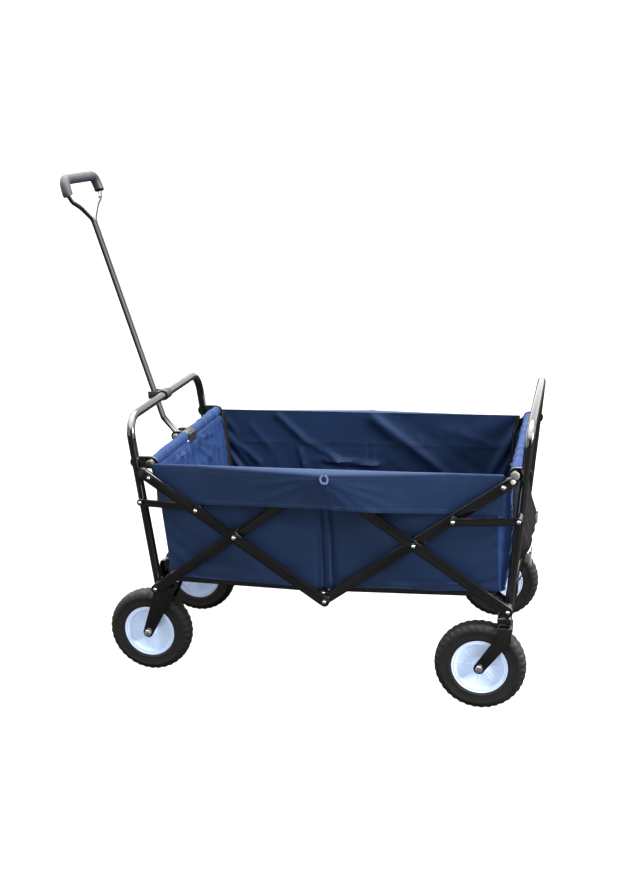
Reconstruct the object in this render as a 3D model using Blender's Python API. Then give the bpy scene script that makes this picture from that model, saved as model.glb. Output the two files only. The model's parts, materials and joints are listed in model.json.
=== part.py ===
"""Folding camp wagon: steel scissor frame, fabric basket, fixed front wheels, swivelling rear casters.

Metres, +Z up. X runs along the wagon with the pull handle at -X, Y runs across it.
The frame is laid out from the front post's lower pivot; SHIFT_X then centres the part.
"""
import math

import bmesh
import bpy
from mathutils import Matrix, Vector

# ---------------------------------------------------------------- driving dimensions
SHIFT_X = -0.27575         # puts the middle of the overall length at x = 0
BAY = 0.354                # lower post pivot to the bottom centre pin
LENGTH = 2 * BAY
PIVOT_Z = 0.2115           # height of the lower post pivots and the bottom centre pin
REST_ANGLE = math.radians(35.0)
LEAN = 0.109               # outward lean of the posts, m per m
HOOP_TOP_Z = 0.562
POST_Y = 0.212
POST_R = 0.0085
FRONT_FOOT_Z = 0.185
REAR_FOOT_Z = 0.1948
HOOP_BEND_R = 0.040

LAYER_IN = (0.2240, 0.2335)    # struts B and D and the front link
LAYER_OUT = (0.2385, 0.2480)   # struts A and C
STRUT_HALF = 0.010
STRUT_HALF_LENGTH = BAY / (2 * math.cos(REST_ANGLE))
TOP_PIN_INSET = 0.0123         # how much shorter the upper arm of A and D is
TOP_END = 0.016                # strut beyond its top rivet, to the end's centre
PIN_R = 0.0035
PIN_HOLE_R = 0.0039
HEAD_R = 0.0062
HEAD_T = 0.0016

LINK_PIVOT_H = 0.183           # post rivet of the short link above the lower pivot
LINK_ARM = 0.092               # strut rivet of the short link, from the scissor's middle
LINK_HALF = 0.00725
LINK_T = 0.005
LINK_REAR_Y = 0.2500

RAIL_PIVOT_X = 0.045
RAIL_PIVOT_Z = 0.2305
RAIL_MID_Z = 0.2240
RAIL_HALF = 0.006
RAIL_FRONT_Y = (0.2095, 0.2155)
RAIL_REAR_Y = (0.2030, 0.2090)
LUG_Y = (0.1970, 0.2015)

TOP_RAIL_Z = 0.4735
TOP_RAIL_R = 0.008
TOP_RAIL_END = 0.2222
FRONT_TOP_RAIL_X = 0.0045
REAR_TOP_RAIL_X = 0.7185
CROSS_Z = (0.1935, 0.2145)
CROSS_FRONT_X = (-0.0060, 0.0100)
CROSS_REAR_X = (0.6980, 0.7140)
CROSS_END = 0.2030

WHEEL_R = 0.089
TYRE_HALF = 0.018
RIM_R = 0.0545
HUB_HALF = 0.0198
AXLE_R = 0.0040
BORE_R = 0.0044
FRONT_WHEEL = (-0.046, 0.156)
REAR_WHEEL = (0.6536, 0.220)
KINGPIN_X = 0.700
LEG_IN = 0.0205
LEG_OUT = 0.0235

HANDLE_PIVOT = (-0.0140, 0.4735)
HANDLE_BEND = (-0.0460, 0.5110)
HANDLE_THROAT_Z = 0.9342
HANDLE_LEAN = 0.2887
ROD_R = 0.0045
ROD_Y = 0.0050
GRIP_R = 0.0105

WALL_Y = (0.2195, 0.2210)
WALL_TOP = 0.4735
HEM_Z = 0.3960
PANEL_HALF = 0.2185
MAT_HALF = 0.1960
MAT_TOP = 0.2345

FABRIC_NAVY = (0.030, 0.048, 0.110)
FABRIC_BLACK = (0.016, 0.016, 0.018)
STEEL_BLACK = (0.012, 0.012, 0.013)
RIM_GREY = (0.56, 0.62, 0.76)
RUBBER = (0.020, 0.019, 0.018)
ZINC = (0.62, 0.62, 0.60)

NEAR, FAR = -1.0, 1.0

for old in list(bpy.data.objects):
    bpy.data.objects.remove(old, do_unlink=True)


# ---------------------------------------------------------------- helpers
def material(name, colour, rough, metal):
    mat = bpy.data.materials.new(name)
    mat.use_nodes = True
    bsdf = mat.node_tree.nodes["Principled BSDF"]
    bsdf.inputs["Base Color"].default_value = (*colour, 1.0)
    bsdf.inputs["Roughness"].default_value = rough
    bsdf.inputs["Metallic"].default_value = metal
    return mat


def to_object(bm, name="tmp"):
    bmesh.ops.recalc_face_normals(bm, faces=bm.faces[:])
    mesh = bpy.data.meshes.new(name)
    bm.to_mesh(mesh)
    bm.free()
    obj = bpy.data.objects.new(name, mesh)
    bpy.context.scene.collection.objects.link(obj)
    return obj


def span(side, pair):
    """The Y range of a layer on one side of the wagon, low value first."""
    return tuple(sorted((side * pair[0], side * pair[1])))


def prism(outline, y0, y1):
    """An XZ outline pushed from y0 to y1."""
    bm = bmesh.new()
    base = bm.faces.new([bm.verts.new((x, y0, z)) for x, z in outline])
    moved = bmesh.ops.extrude_face_region(bm, geom=[base])["geom"]
    verts = [v for v in moved if isinstance(v, bmesh.types.BMVert)]
    bmesh.ops.translate(bm, verts=verts, vec=(0, y1 - y0, 0))
    return to_object(bm)


def box(x0, x1, y0, y1, z0, z1):
    return prism([(x0, z0), (x1, z0), (x1, z1), (x0, z1)], y0, y1)


def ring_points(cx, cz, radius, count, start=0.0, sweep=2 * math.pi, closed=True):
    steps = count if closed else count - 1
    angles = [start + sweep * i / steps for i in range(count)]
    return [(cx + radius * math.cos(a), cz + radius * math.sin(a)) for a in angles]


def drum(x, z, y0, y1, radius, count=14):
    """A cylinder along Y."""
    return prism(ring_points(x, z, radius, count), y0, y1)


def post(x, y, z0, z1, radius, count=14):
    """A cylinder along Z."""
    bm = bmesh.new()
    bmesh.ops.create_cone(
        bm, cap_ends=True, segments=count, radius1=radius, radius2=radius, depth=z1 - z0,
        matrix=Matrix.Translation((x, y, (z0 + z1) / 2)),
    )
    return to_object(bm)


def stadium(a, b, radius, count=8):
    """Outline of a bar with round ends centred on a and b."""
    angle = math.atan2(b[1] - a[1], b[0] - a[0])
    first = ring_points(a[0], a[1], radius, count, angle + math.pi / 2, math.pi, False)
    last = ring_points(b[0], b[1], radius, count, angle - math.pi / 2, math.pi, False)
    return first + last


def filleted(points, radius, steps=6):
    """A polyline with each inner corner rounded."""
    pts = [Vector(p) for p in points]
    out = [pts[0]]
    for before, corner, after in zip(pts, pts[1:], pts[2:]):
        u = (before - corner).normalized()
        v = (after - corner).normalized()
        half = u.angle(v) / 2
        room = 0.48 * min((before - corner).length, (after - corner).length)
        reach = min(radius / math.tan(half), room)
        bend = reach * math.tan(half)
        centre = corner + (u + v).normalized() * (bend / math.sin(half))
        start = corner + u * reach - centre
        end = corner + v * reach - centre
        total = start.angle(end)
        for i in range(steps + 1):
            t = i / steps
            a = math.sin((1 - t) * total) / math.sin(total)
            b = math.sin(t * total) / math.sin(total)
            out.append(centre + start * a + end * b)
    out.append(pts[-1])
    return out


def sweep(points, radius, sides=14):
    """A round bar along a list of points, capped at both ends."""
    pts = [Vector(p) for p in points]
    tangents = []
    for i in range(len(pts)):
        a = pts[max(i - 1, 0)]
        b = pts[min(i + 1, len(pts) - 1)]
        tangents.append((b - a).normalized())
    normal = tangents[0].orthogonal().normalized()
    bm = bmesh.new()
    rings = []
    for i, (p, t) in enumerate(zip(pts, tangents)):
        if i:
            turn = tangents[i - 1].rotation_difference(t)
            normal = turn @ normal
        normal = (normal - t * normal.dot(t)).normalized()
        side = t.cross(normal)
        rings.append([
            bm.verts.new(p + normal * (radius * math.cos(k)) + side * (radius * math.sin(k)))
            for k in [2 * math.pi * j / sides for j in range(sides)]
        ])
    for low, high in zip(rings, rings[1:]):
        for j in range(sides):
            bm.faces.new((low[j], low[(j + 1) % sides], high[(j + 1) % sides], high[j]))
    bm.faces.new(rings[0])
    bm.faces.new(rings[-1])
    return to_object(bm)


def turned(profile, x, y, z, count):
    """A closed profile of (radius, offset along Y) spun round a Y axis through x, z."""
    bm = bmesh.new()
    rings = []
    for k in range(count):
        c, s = math.cos(2 * math.pi * k / count), math.sin(2 * math.pi * k / count)
        rings.append([bm.verts.new((x + r * c, y + w, z + r * s)) for r, w in profile])
    size = len(profile)
    for k in range(count):
        here = rings[k]
        there = rings[(k + 1) % count]
        for j in range(size):
            bm.faces.new((here[j], here[(j + 1) % size], there[(j + 1) % size], there[j]))
    return to_object(bm)


def lofted(sections):
    """Closed sections, all with the same number of points, joined in order and capped."""
    bm = bmesh.new()
    rings = [[bm.verts.new(p) for p in section] for section in sections]
    size = len(rings[0])
    for low, high in zip(rings, rings[1:]):
        for j in range(size):
            bm.faces.new((low[j], low[(j + 1) % size], high[(j + 1) % size], high[j]))
    bm.faces.new(rings[0])
    bm.faces.new(rings[-1])
    return to_object(bm)


def combine(target, other, operation):
    mod = target.modifiers.new("cut", "BOOLEAN")
    mod.operation = operation
    mod.solver = "EXACT"
    mod.object = other
    graph = bpy.context.evaluated_depsgraph_get()
    mesh = bpy.data.meshes.new_from_object(target.evaluated_get(graph))
    target.modifiers.clear()
    target.data = mesh
    bpy.data.objects.remove(other, do_unlink=True)


def make(name, mat, origin, solids, holes=()):
    """One named piece: solids are joined, holes are cut, and the origin goes to a joint axis."""
    obj = solids[0]
    for other in solids[1:]:
        combine(obj, other, "UNION")
    for other in holes:
        combine(obj, other, "DIFFERENCE")
    ox, oy, oz = origin
    obj.data.transform(Matrix.Translation((-ox, -oy, -oz)))
    bm = bmesh.new()
    bm.from_mesh(obj.data)
    bmesh.ops.remove_doubles(bm, verts=bm.verts[:], dist=0.00001)
    bmesh.ops.dissolve_limit(bm, angle_limit=0.002, verts=bm.verts[:], edges=bm.edges[:])
    bmesh.ops.triangulate(bm, faces=bm.faces[:])
    bmesh.ops.recalc_face_normals(bm, faces=bm.faces[:])
    bm.to_mesh(obj.data)
    bm.free()
    obj.name = name
    obj.data.name = name
    obj.location = (ox + SHIFT_X, oy, oz)
    obj.data.materials.clear()
    obj.data.materials.append(mat)
    return obj


def paint(name, colour, rough, metal):
    return material("mat_" + name, colour, rough, metal)


def steel(name):
    return paint(name, STEEL_BLACK, 0.30, 0.0)


def navy(name):
    return paint(name, FABRIC_NAVY, 0.85, 0.0)


# ---------------------------------------------------------------- layout of the scissors
COS = math.cos(REST_ANGLE)
SIN = math.sin(REST_ANGLE)
HALF = STRUT_HALF_LENGTH
O_FRONT = (0.0, PIVOT_Z)
O_REAR = (LENGTH, PIVOT_Z)
MID_FRONT = (HALF * COS, PIVOT_Z + HALF * SIN)
MID_REAR = (LENGTH - HALF * COS, PIVOT_Z + HALF * SIN)
LOW_PIN = (BAY, PIVOT_Z)
TOP_PIN = (BAY, PIVOT_Z + 2 * HALF * SIN)
UPPER = HALF - TOP_PIN_INSET


def along(start, direction, distance):
    """A point from start, up the slope toward the front (-1) or the rear (+1)."""
    return (start[0] + direction * COS * distance, start[1] + SIN * distance)


A_RIVET = along(MID_FRONT, -1, UPPER)
A_END = along(MID_FRONT, -1, UPPER + TOP_END)
D_RIVET = along(MID_REAR, 1, UPPER)
D_END = along(MID_REAR, 1, UPPER + TOP_END)
Q_FRONT = along(MID_FRONT, -1, LINK_ARM)
Q_REAR = along(MID_REAR, 1, LINK_ARM)


def post_x(z, rear):
    return LENGTH + LEAN * (z - PIVOT_Z) if rear else -LEAN * (z - PIVOT_Z)


P_FRONT = (post_x(PIVOT_Z + LINK_PIVOT_H, False), PIVOT_Z + LINK_PIVOT_H)
P_REAR = (post_x(PIVOT_Z + LINK_PIVOT_H, True), PIVOT_Z + LINK_PIVOT_H)


def pin(at, side, start, end, radius=PIN_R):
    """A plain pin along Y between two distances from the wagon's middle."""
    return drum(at[0], at[1], *span(side, (start, end)), radius, 12)


def head(at, side, start):
    return drum(at[0], at[1], *span(side, (start, start + HEAD_T)), HEAD_R, 14)


# ---------------------------------------------------------------- hoops
def hoop(rear):
    foot = REAR_FOOT_Z if rear else FRONT_FOOT_Z
    path = filleted(
        [
            (post_x(foot, rear), -POST_Y, foot),
            (post_x(HOOP_TOP_Z, rear), -POST_Y, HOOP_TOP_Z),
            (post_x(HOOP_TOP_Z, rear), POST_Y, HOOP_TOP_Z),
            (post_x(foot, rear), POST_Y, foot),
        ],
        HOOP_BEND_R,
    )
    solids = [sweep(path, POST_R, 16)]
    link_at = P_REAR if rear else P_FRONT
    low_at = O_REAR if rear else O_FRONT
    rail_x = REAR_TOP_RAIL_X if rear else FRONT_TOP_RAIL_X
    holes = []
    for side in (NEAR, FAR):
        # lower pivot pin of the long strut
        layer = LAYER_OUT if rear else LAYER_IN
        solids.append(pin(low_at, side, POST_Y, layer[0] - 0.0003, 0.0065))
        solids.append(pin(low_at, side, POST_Y, layer[1] + 0.0010))
        solids.append(head(low_at, side, layer[1] + 0.0004))
        # pivot pin of the short link
        start = LINK_REAR_Y if rear else LAYER_IN[0]
        solids.append(pin(link_at, side, POST_Y, start - 0.0003, 0.0060))
        solids.append(pin(link_at, side, POST_Y, start + LINK_T + 0.0010))
        solids.append(head(link_at, side, start + LINK_T + 0.0004))
        # welded plate that carries the top rail
        plate = stadium((post_x(TOP_RAIL_Z, rear), TOP_RAIL_Z), (rail_x, TOP_RAIL_Z), 0.0125)
        solids.append(prism(plate, *span(side, (0.2080, 0.2130))))
        holes.append(drum(rail_x, TOP_RAIL_Z, *span(side, (0.2070, 0.2140)), TOP_RAIL_R + 0.0004, 16))
    name = "rear_hoop" if rear else "front_hoop"
    return make(name, steel(name), (low_at[0], 0, low_at[1]), solids, holes)


hoop(False)
hoop(True)


# ---------------------------------------------------------------- top rails and lower cross members
for rear in (False, True):
    end = "rear" if rear else "front"
    rail_x = REAR_TOP_RAIL_X if rear else FRONT_TOP_RAIL_X
    rail = drum(rail_x, TOP_RAIL_Z, -TOP_RAIL_END, TOP_RAIL_END, TOP_RAIL_R, 16)
    make(end + "_top_rail", steel(end + "_top_rail"), (rail_x, 0, TOP_RAIL_Z), [rail])

for rear in (False, True):
    end = "rear" if rear else "front"
    turn = -1 if rear else 1
    x0, x1 = CROSS_REAR_X if rear else CROSS_FRONT_X
    mid = (x0 + x1) / 2
    pivot_x = LENGTH - RAIL_PIVOT_X if rear else RAIL_PIVOT_X
    solids = [box(x0, x1, -CROSS_END, CROSS_END, *CROSS_Z)]
    for side in (NEAR, FAR):
        lug = [
            (mid, CROSS_Z[0] + 0.008),
            (mid + turn * 0.020, CROSS_Z[0] + 0.016),
            (pivot_x, RAIL_PIVOT_Z - 0.006),
            (pivot_x + turn * 0.0045, RAIL_PIVOT_Z - 0.003),
            (pivot_x + turn * 0.0045, RAIL_PIVOT_Z + 0.003),
            (pivot_x, RAIL_PIVOT_Z + 0.006),
            (mid + turn * 0.020, RAIL_PIVOT_Z + 0.004),
            (mid, CROSS_Z[1] + 0.006),
        ]
        solids.append(prism(lug, *span(side, LUG_Y)))
        outer = RAIL_REAR_Y[1] if rear else RAIL_FRONT_Y[1]
        inner = RAIL_REAR_Y[0] if rear else RAIL_FRONT_Y[0]
        at = (pivot_x, RAIL_PIVOT_Z)
        solids.append(pin(at, side, LUG_Y[0] + 0.001, inner - 0.0003, 0.0045))
        solids.append(pin(at, side, LUG_Y[0] + 0.001, outer + 0.0008, 0.0025))
        solids.append(drum(*at, *span(side, (outer + 0.0004, outer + 0.0012)), 0.0045, 12))
        # upright stop block beside the post
        block_x = LENGTH + 0.0060 if rear else 0.007
        block = stadium((block_x, 0.2300), (block_x, 0.2520), 0.0090, 6)
        block_y = span(side, (0.1800, 0.1955))
        solids.append(prism(block, *block_y))
        solids.append(box(block_x - 0.006, block_x + 0.006, *block_y, CROSS_Z[1] - 0.002, 0.226))
    make(end + "_cross_member", steel(end + "_cross_member"), (mid, 0, CROSS_Z[0]), solids)


# ---------------------------------------------------------------- scissor struts
def strut(kind, side):
    name = "strut_" + kind + ("_near" if side == NEAR else "_far")
    mat = steel(name)
    if kind == "b":
        bar = stadium(O_FRONT, TOP_PIN, STRUT_HALF)
        layer, origin = LAYER_IN, O_FRONT
        through, bores, rivets = (MID_FRONT, TOP_PIN), (O_FRONT,), ()
    elif kind == "a":
        bar = stadium(A_END, LOW_PIN, STRUT_HALF)
        layer, origin = LAYER_OUT, MID_FRONT
        through, bores, rivets = (), (MID_FRONT, LOW_PIN), (A_RIVET, Q_FRONT)
    elif kind == "d":
        bar = stadium(LOW_PIN, D_END, STRUT_HALF)
        layer, origin = LAYER_IN, LOW_PIN
        through, bores, rivets = (LOW_PIN, MID_REAR), (), (D_RIVET, Q_REAR)
    else:
        bar = stadium(TOP_PIN, O_REAR, STRUT_HALF)
        layer, origin = LAYER_OUT, MID_REAR
        through, bores, rivets = (), (TOP_PIN, MID_REAR, O_REAR), ()
    solids = [prism(bar, *span(side, layer))]
    for at in through:
        solids.append(pin(at, side, layer[1] - 0.002, LAYER_OUT[0] - 0.0003, 0.0080))
        solids.append(pin(at, side, layer[1] - 0.002, LAYER_OUT[1] + 0.0010))
        solids.append(head(at, side, LAYER_OUT[1] + 0.0004))
    for at in rivets:
        solids.append(drum(*at, *span(side, (layer[1] - 0.001, layer[1] + 0.0014)), 0.0055, 12))
    clear = span(side, (layer[0] - 0.003, layer[1] + 0.003))
    holes = [drum(*at, *clear, PIN_HOLE_R, 14) for at in bores]
    return make(name, mat, (origin[0], 0, origin[1]), solids, holes)


for kind in "badc":
    for side in (NEAR, FAR):
        strut(kind, side)

cross_tube = drum(LOW_PIN[0], LOW_PIN[1], -0.2232, 0.2232, 0.0058, 14)
make("centre_cross_tube", steel("centre_cross_tube"), (LOW_PIN[0], 0, LOW_PIN[1]), [cross_tube])


# ---------------------------------------------------------------- short links and floor rails
for rear in (False, True):
    for side in (NEAR, FAR):
        name = ("link_rear" if rear else "link_front") + ("_near" if side == NEAR else "_far")
        a = P_REAR if rear else P_FRONT
        b = Q_REAR if rear else Q_FRONT
        start = LINK_REAR_Y if rear else LAYER_IN[0]
        solids = [prism(stadium(a, b, LINK_HALF, 6), *span(side, (start, start + LINK_T)))]
        if rear:
            solids.append(pin(b, side, LAYER_IN[1] + 0.0018, start + 0.001, 0.0060))
            solids.append(drum(b[0], b[1], *span(side, (start + 0.004, start + LINK_T + 0.0014)), 0.0055, 12))
        else:
            solids.append(pin(b, side, start + LINK_T - 0.001, LAYER_OUT[0] - 0.0003, 0.0060))
        hole = drum(a[0], a[1], *span(side, (start - 0.002, start + LINK_T + 0.002)), PIN_HOLE_R, 14)
        make(name, steel(name), (a[0], 0, a[1]), solids, [hole])

for rear in (False, True):
    for side in (NEAR, FAR):
        name = ("rail_rear" if rear else "rail_front") + ("_near" if side == NEAR else "_far")
        layer = RAIL_REAR_Y if rear else RAIL_FRONT_Y
        a = (LENGTH - RAIL_PIVOT_X, RAIL_PIVOT_Z) if rear else (RAIL_PIVOT_X, RAIL_PIVOT_Z)
        b = (BAY - 0.004, RAIL_MID_Z) if rear else (BAY + 0.004, RAIL_MID_Z)
        solids = [prism(stadium(a, b, RAIL_HALF, 6), *span(side, layer))]
        if not rear:
            solids.append(drum(b[0], b[1], *span(side, (layer[1] - 0.001, layer[1] + 0.0014)), 0.0040, 12))
        hole = drum(a[0], a[1], *span(side, (layer[0] - 0.002, layer[1] + 0.002)), 0.0029, 12)
        make(name, steel(name), (a[0], 0, a[1]), solids, [hole])


# ---------------------------------------------------------------- wheels
TYRE_PROFILE = [
    (0.0548, -0.0150), (0.0620, -0.0176), (0.0780, -TYRE_HALF), (0.0860, -0.0150), (WHEEL_R, -0.0095),
    (WHEEL_R, 0.0095), (0.0860, 0.0150), (0.0780, TYRE_HALF), (0.0620, 0.0176), (0.0548, 0.0150),
]
RIM_PROFILE = [
    (BORE_R, -HUB_HALF), (0.0120, -HUB_HALF), (0.0130, -0.0090), (0.0460, -0.0090), (RIM_R, -0.0150),
    (RIM_R, 0.0150), (0.0460, 0.0090), (0.0130, 0.0090), (0.0120, HUB_HALF), (BORE_R, HUB_HALF),
]


def wheel(name, x, y):
    make(name + "_tyre", paint(name + "_tyre", RUBBER, 0.75, 0.0), (x, y, WHEEL_R),
         [turned(TYRE_PROFILE, x, y, WHEEL_R, 32)])
    make(name + "_rim", paint(name + "_rim", RIM_GREY, 0.45, 0.0), (x, y, WHEEL_R),
         [turned(RIM_PROFILE, x, y, WHEEL_R, 24)])


def axle(name, x, y):
    tip = LEG_OUT + 0.0003
    solids = [
        drum(x, WHEEL_R, y - tip - 0.001, y + tip + 0.001, AXLE_R, 12),
        drum(x, WHEEL_R, y - tip - 0.0038, y - tip, 0.0075, 6),
        drum(x, WHEEL_R, y + tip, y + tip + 0.0038, 0.0075, 6),
    ]
    make(name, paint(name, ZINC, 0.35, 0.9), (x, y, WHEEL_R), solids)


def leg_outline(hub_x, top):
    """A fork leg: round at the hub, then out to the given upper corners."""
    around = ring_points(hub_x, WHEEL_R, 0.0110, 8, math.radians(150), math.radians(190), False)
    return around + top


for side in (NEAR, FAR):
    tag = "_near" if side == NEAR else "_far"
    x, y = FRONT_WHEEL[0], side * FRONT_WHEEL[1]
    wheel("front_wheel" + tag, x, y)
    axle("front_axle" + tag, x, y)
    top = [
        (0.0138, 0.1710), (0.0300, 0.2080), (0.0115, 0.2080), (0.0115, 0.1930),
        (-0.0240, 0.1930), (-0.0290, 0.1720),
    ]
    solids = [
        prism(leg_outline(x, top), y - LEG_OUT, y - LEG_IN),
        prism(leg_outline(x, top), y + LEG_IN, y + LEG_OUT),
        box(-0.0240, 0.0110, y - LEG_OUT + 0.001, y + LEG_OUT - 0.001, 0.1890, 0.1930),
    ]
    hole = drum(x, WHEEL_R, y - 0.03, y + 0.03, BORE_R, 12)
    make("front_fork" + tag, steel("front_fork" + tag), (x, y, WHEEL_R), solids, [hole])

for side in (NEAR, FAR):
    tag = "_near" if side == NEAR else "_far"
    x, y = REAR_WHEEL[0], side * REAR_WHEEL[1]
    wheel("rear_wheel" + tag, x, y)
    axle("rear_axle" + tag, x, y)
    top = [(0.7140, 0.1480), (0.7155, 0.1755), (0.6885, 0.1755), (0.6860, 0.1560)]
    solids = [
        prism(leg_outline(x, top), y - LEG_OUT, y - LEG_IN),
        prism(leg_outline(x, top), y + LEG_IN, y + LEG_OUT),
        box(0.6890, 0.7150, y - LEG_OUT + 0.001, y + LEG_OUT - 0.001, 0.1715, 0.1755),
        post(KINGPIN_X, y, 0.1735, 0.1870, 0.0050),
    ]
    hole = drum(x, WHEEL_R, y - 0.03, y + 0.03, BORE_R, 12)
    make("caster_fork" + tag, steel("caster_fork" + tag), (KINGPIN_X, y, 0.1755), solids, [hole])
    housing = box(0.6870, 0.7135, *span(side, (0.1985, 0.2345)), 0.1770, 0.1930)
    bore = post(KINGPIN_X, y, 0.1740, 0.1880, 0.0054)
    make("caster_housing" + tag, steel("caster_housing" + tag), (KINGPIN_X, y, 0.1755), [housing], [bore])


# ---------------------------------------------------------------- pull handle
def pole_x(z):
    """Front-to-back place of the straight part of the handle at a height."""
    throat = HANDLE_BEND[0] - HANDLE_LEAN * (HANDLE_THROAT_Z - HANDLE_BEND[1])
    return throat - HANDLE_LEAN * (z - HANDLE_THROAT_Z)


LOOP = [(0.0048, 0.9342), (0.0400, 0.9600), (0.0700, 0.9740), (0.0800, 0.9900), (0.0745, 1.0190), (0.0, 1.0190)]
near_side = [(pole_x(z), -w, z) for w, z in LOOP[:-1]]
far_side = [(x, -y, z) for x, y, z in reversed(near_side)]
start = (HANDLE_PIVOT[0], -ROD_Y, HANDLE_PIVOT[1])
bend = (HANDLE_BEND[0], -ROD_Y, HANDLE_BEND[1])
path = [start, bend] + near_side + far_side + [(bend[0], ROD_Y, bend[2]), (start[0], ROD_Y, start[2])]
loop = filleted(path, 0.016, 4)
eye = drum(HANDLE_PIVOT[0], HANDLE_PIVOT[1], -0.0125, 0.0125, 0.0080, 16)
bore = drum(HANDLE_PIVOT[0], HANDLE_PIVOT[1], -0.0200, 0.0200, 0.0042, 14)
make("handle_rod", steel("handle_rod"), (HANDLE_PIVOT[0], 0, HANDLE_PIVOT[1]),
     [sweep(loop, ROD_R, 10), eye], [bore])

GRIP_LOW = 0.9880
inner = [p for p in loop if p[2] > GRIP_LOW + 0.001]
cut_low = Vector((pole_x(GRIP_LOW), inner[0][1] * 0.99, GRIP_LOW))
cut_high = Vector((pole_x(GRIP_LOW), inner[-1][1] * 0.99, GRIP_LOW))
grip_path = [cut_low] + inner + [cut_high]
down_a = (grip_path[0] - grip_path[1]).normalized() * 0.004
down_b = (grip_path[-1] - grip_path[-2]).normalized() * 0.004
core_path = [grip_path[0] + down_a] + grip_path + [grip_path[-1] + down_b]
make("handle_grip", paint("handle_grip", (0.022, 0.023, 0.027), 0.55, 0.0),
     (HANDLE_PIVOT[0], 0, HANDLE_PIVOT[1]), [sweep(grip_path, GRIP_R, 14)], [sweep(core_path, ROD_R + 0.0006, 10)])

cheek = stadium((FRONT_TOP_RAIL_X, TOP_RAIL_Z), HANDLE_PIVOT, 0.0112)
solids = [
    prism(cheek, -0.0172, -0.0140),
    prism(cheek, 0.0140, 0.0172),
    box(0.0132, 0.0152, -0.0172, 0.0172, 0.4665, 0.4805),
]
holes = [
    drum(FRONT_TOP_RAIL_X, TOP_RAIL_Z, -0.02, 0.02, TOP_RAIL_R + 0.0004, 16),
    drum(HANDLE_PIVOT[0], HANDLE_PIVOT[1], -0.02, 0.02, 0.0042, 14),
]
make("handle_bracket", steel("handle_bracket"), (HANDLE_PIVOT[0], 0, HANDLE_PIVOT[1]), solids, holes)

solids = [
    drum(*HANDLE_PIVOT, -0.0185, 0.0185, 0.0038, 12),
    drum(*HANDLE_PIVOT, -0.0215, -0.0176, 0.0070, 6),
    drum(*HANDLE_PIVOT, 0.0176, 0.0215, 0.0070, 6),
]
make("handle_bolt", paint("handle_bolt", ZINC, 0.35, 0.9), (HANDLE_PIVOT[0], 0, HANDLE_PIVOT[1]), solids)

BAR_X = post_x(HOOP_TOP_Z, False)
solids = [
    drum(BAR_X, HOOP_TOP_Z, -0.0135, 0.0135, 0.0115, 16),
    box(-0.0526, -0.0480, -0.0135, 0.0135, 0.5540, 0.5700),
    box(-0.0720, -0.0500, -0.0135, -0.0108, 0.5540, 0.5700),
    box(-0.0720, -0.0500, 0.0108, 0.0135, 0.5540, 0.5700),
]
hole = drum(BAR_X, HOOP_TOP_Z, -0.02, 0.02, POST_R + 0.0003, 16)
make("handle_clip", paint("handle_clip", FABRIC_BLACK, 0.5, 0.0), (BAR_X, 0, HOOP_TOP_Z), solids, [hole])


# ---------------------------------------------------------------- fabric basket
def end_panel(rear):
    rail_x = REAR_TOP_RAIL_X if rear else FRONT_TOP_RAIL_X
    top_x = rail_x - 0.0100 if rear else rail_x + 0.0100
    low_x = 0.6995 if rear else 0.0345
    sheet = [(top_x - 0.001, 0.4590), (top_x + 0.001, 0.4590), (low_x + 0.001, 0.2400), (low_x - 0.001, 0.2400)]
    solids = [prism(sheet, -PANEL_HALF, PANEL_HALF)]
    holes = []
    inset = -1 if rear else 1
    for side in (NEAR, FAR):
        start = 0.0205 if not rear else 0.0
        y0, y1 = span(side, (start, 0.2055))
        solids.append(drum(rail_x, TOP_RAIL_Z, y0, y1, TOP_RAIL_R + 0.0024, 16))
        edge = rail_x + inset * (TOP_RAIL_R + 0.0006)
        x0, x1 = sorted((edge, edge + inset * 0.0018))
        solids.append(box(x0, x1, y0, y1, 0.4560, 0.4735))
    holes.append(drum(rail_x, TOP_RAIL_Z, -0.22, 0.22, TOP_RAIL_R + 0.0004, 16))
    name = "rear_panel" if rear else "front_panel"
    make(name, navy(name), (rail_x, 0, TOP_RAIL_Z), solids, holes)


end_panel(False)
end_panel(True)

FLAP_FRONT = [
    (0.0145, 0.2232), (0.1180, 0.2232), (0.1600, 0.2275), (0.2000, 0.2345), (0.2400, 0.2415),
    (0.2800, 0.2475), (0.3200, 0.2515), (0.3537, 0.2523),
]
FLAP_REAR = [
    (0.3543, 0.2523), (0.4200, 0.2523), (0.4700, 0.2507), (0.5100, 0.2430), (0.5500, 0.2320), (0.5870, 0.2232),
    (0.7040, 0.2232),
]


def flap_section(x, out, side):
    inner_y = out - 0.0015
    outline = [
        (0.2214, 0.4722), (out, 0.4722), (out, HEM_Z), (inner_y, HEM_Z), (inner_y, 0.4707), (0.2214, 0.4707),
    ]
    return [(x, side * y, z) for y, z in outline]


for rear in (False, True):
    end = "rear" if rear else "front"
    centre = MID_REAR if rear else MID_FRONT
    if rear:
        outline = [(0.3543, WALL_TOP), (0.7075, WALL_TOP), (0.7010, 0.2375), (0.3543, 0.2277)]
    else:
        outline = [(0.0145, WALL_TOP), (0.3537, WALL_TOP), (0.3537, 0.2277), (0.0335, 0.2375)]
    for side in (NEAR, FAR):
        tag = "_near" if side == NEAR else "_far"
        name = "wall_" + end + tag
        make(name, navy(name), (centre[0], 0, centre[1]), [prism(outline, *span(side, WALL_Y))])
        name = "flap_" + end + tag
        stations = FLAP_REAR if rear else FLAP_FRONT
        make(name, navy(name), (centre[0], 0, centre[1]),
             [lofted([flap_section(x, out, side) for x, out in stations])])

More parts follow.
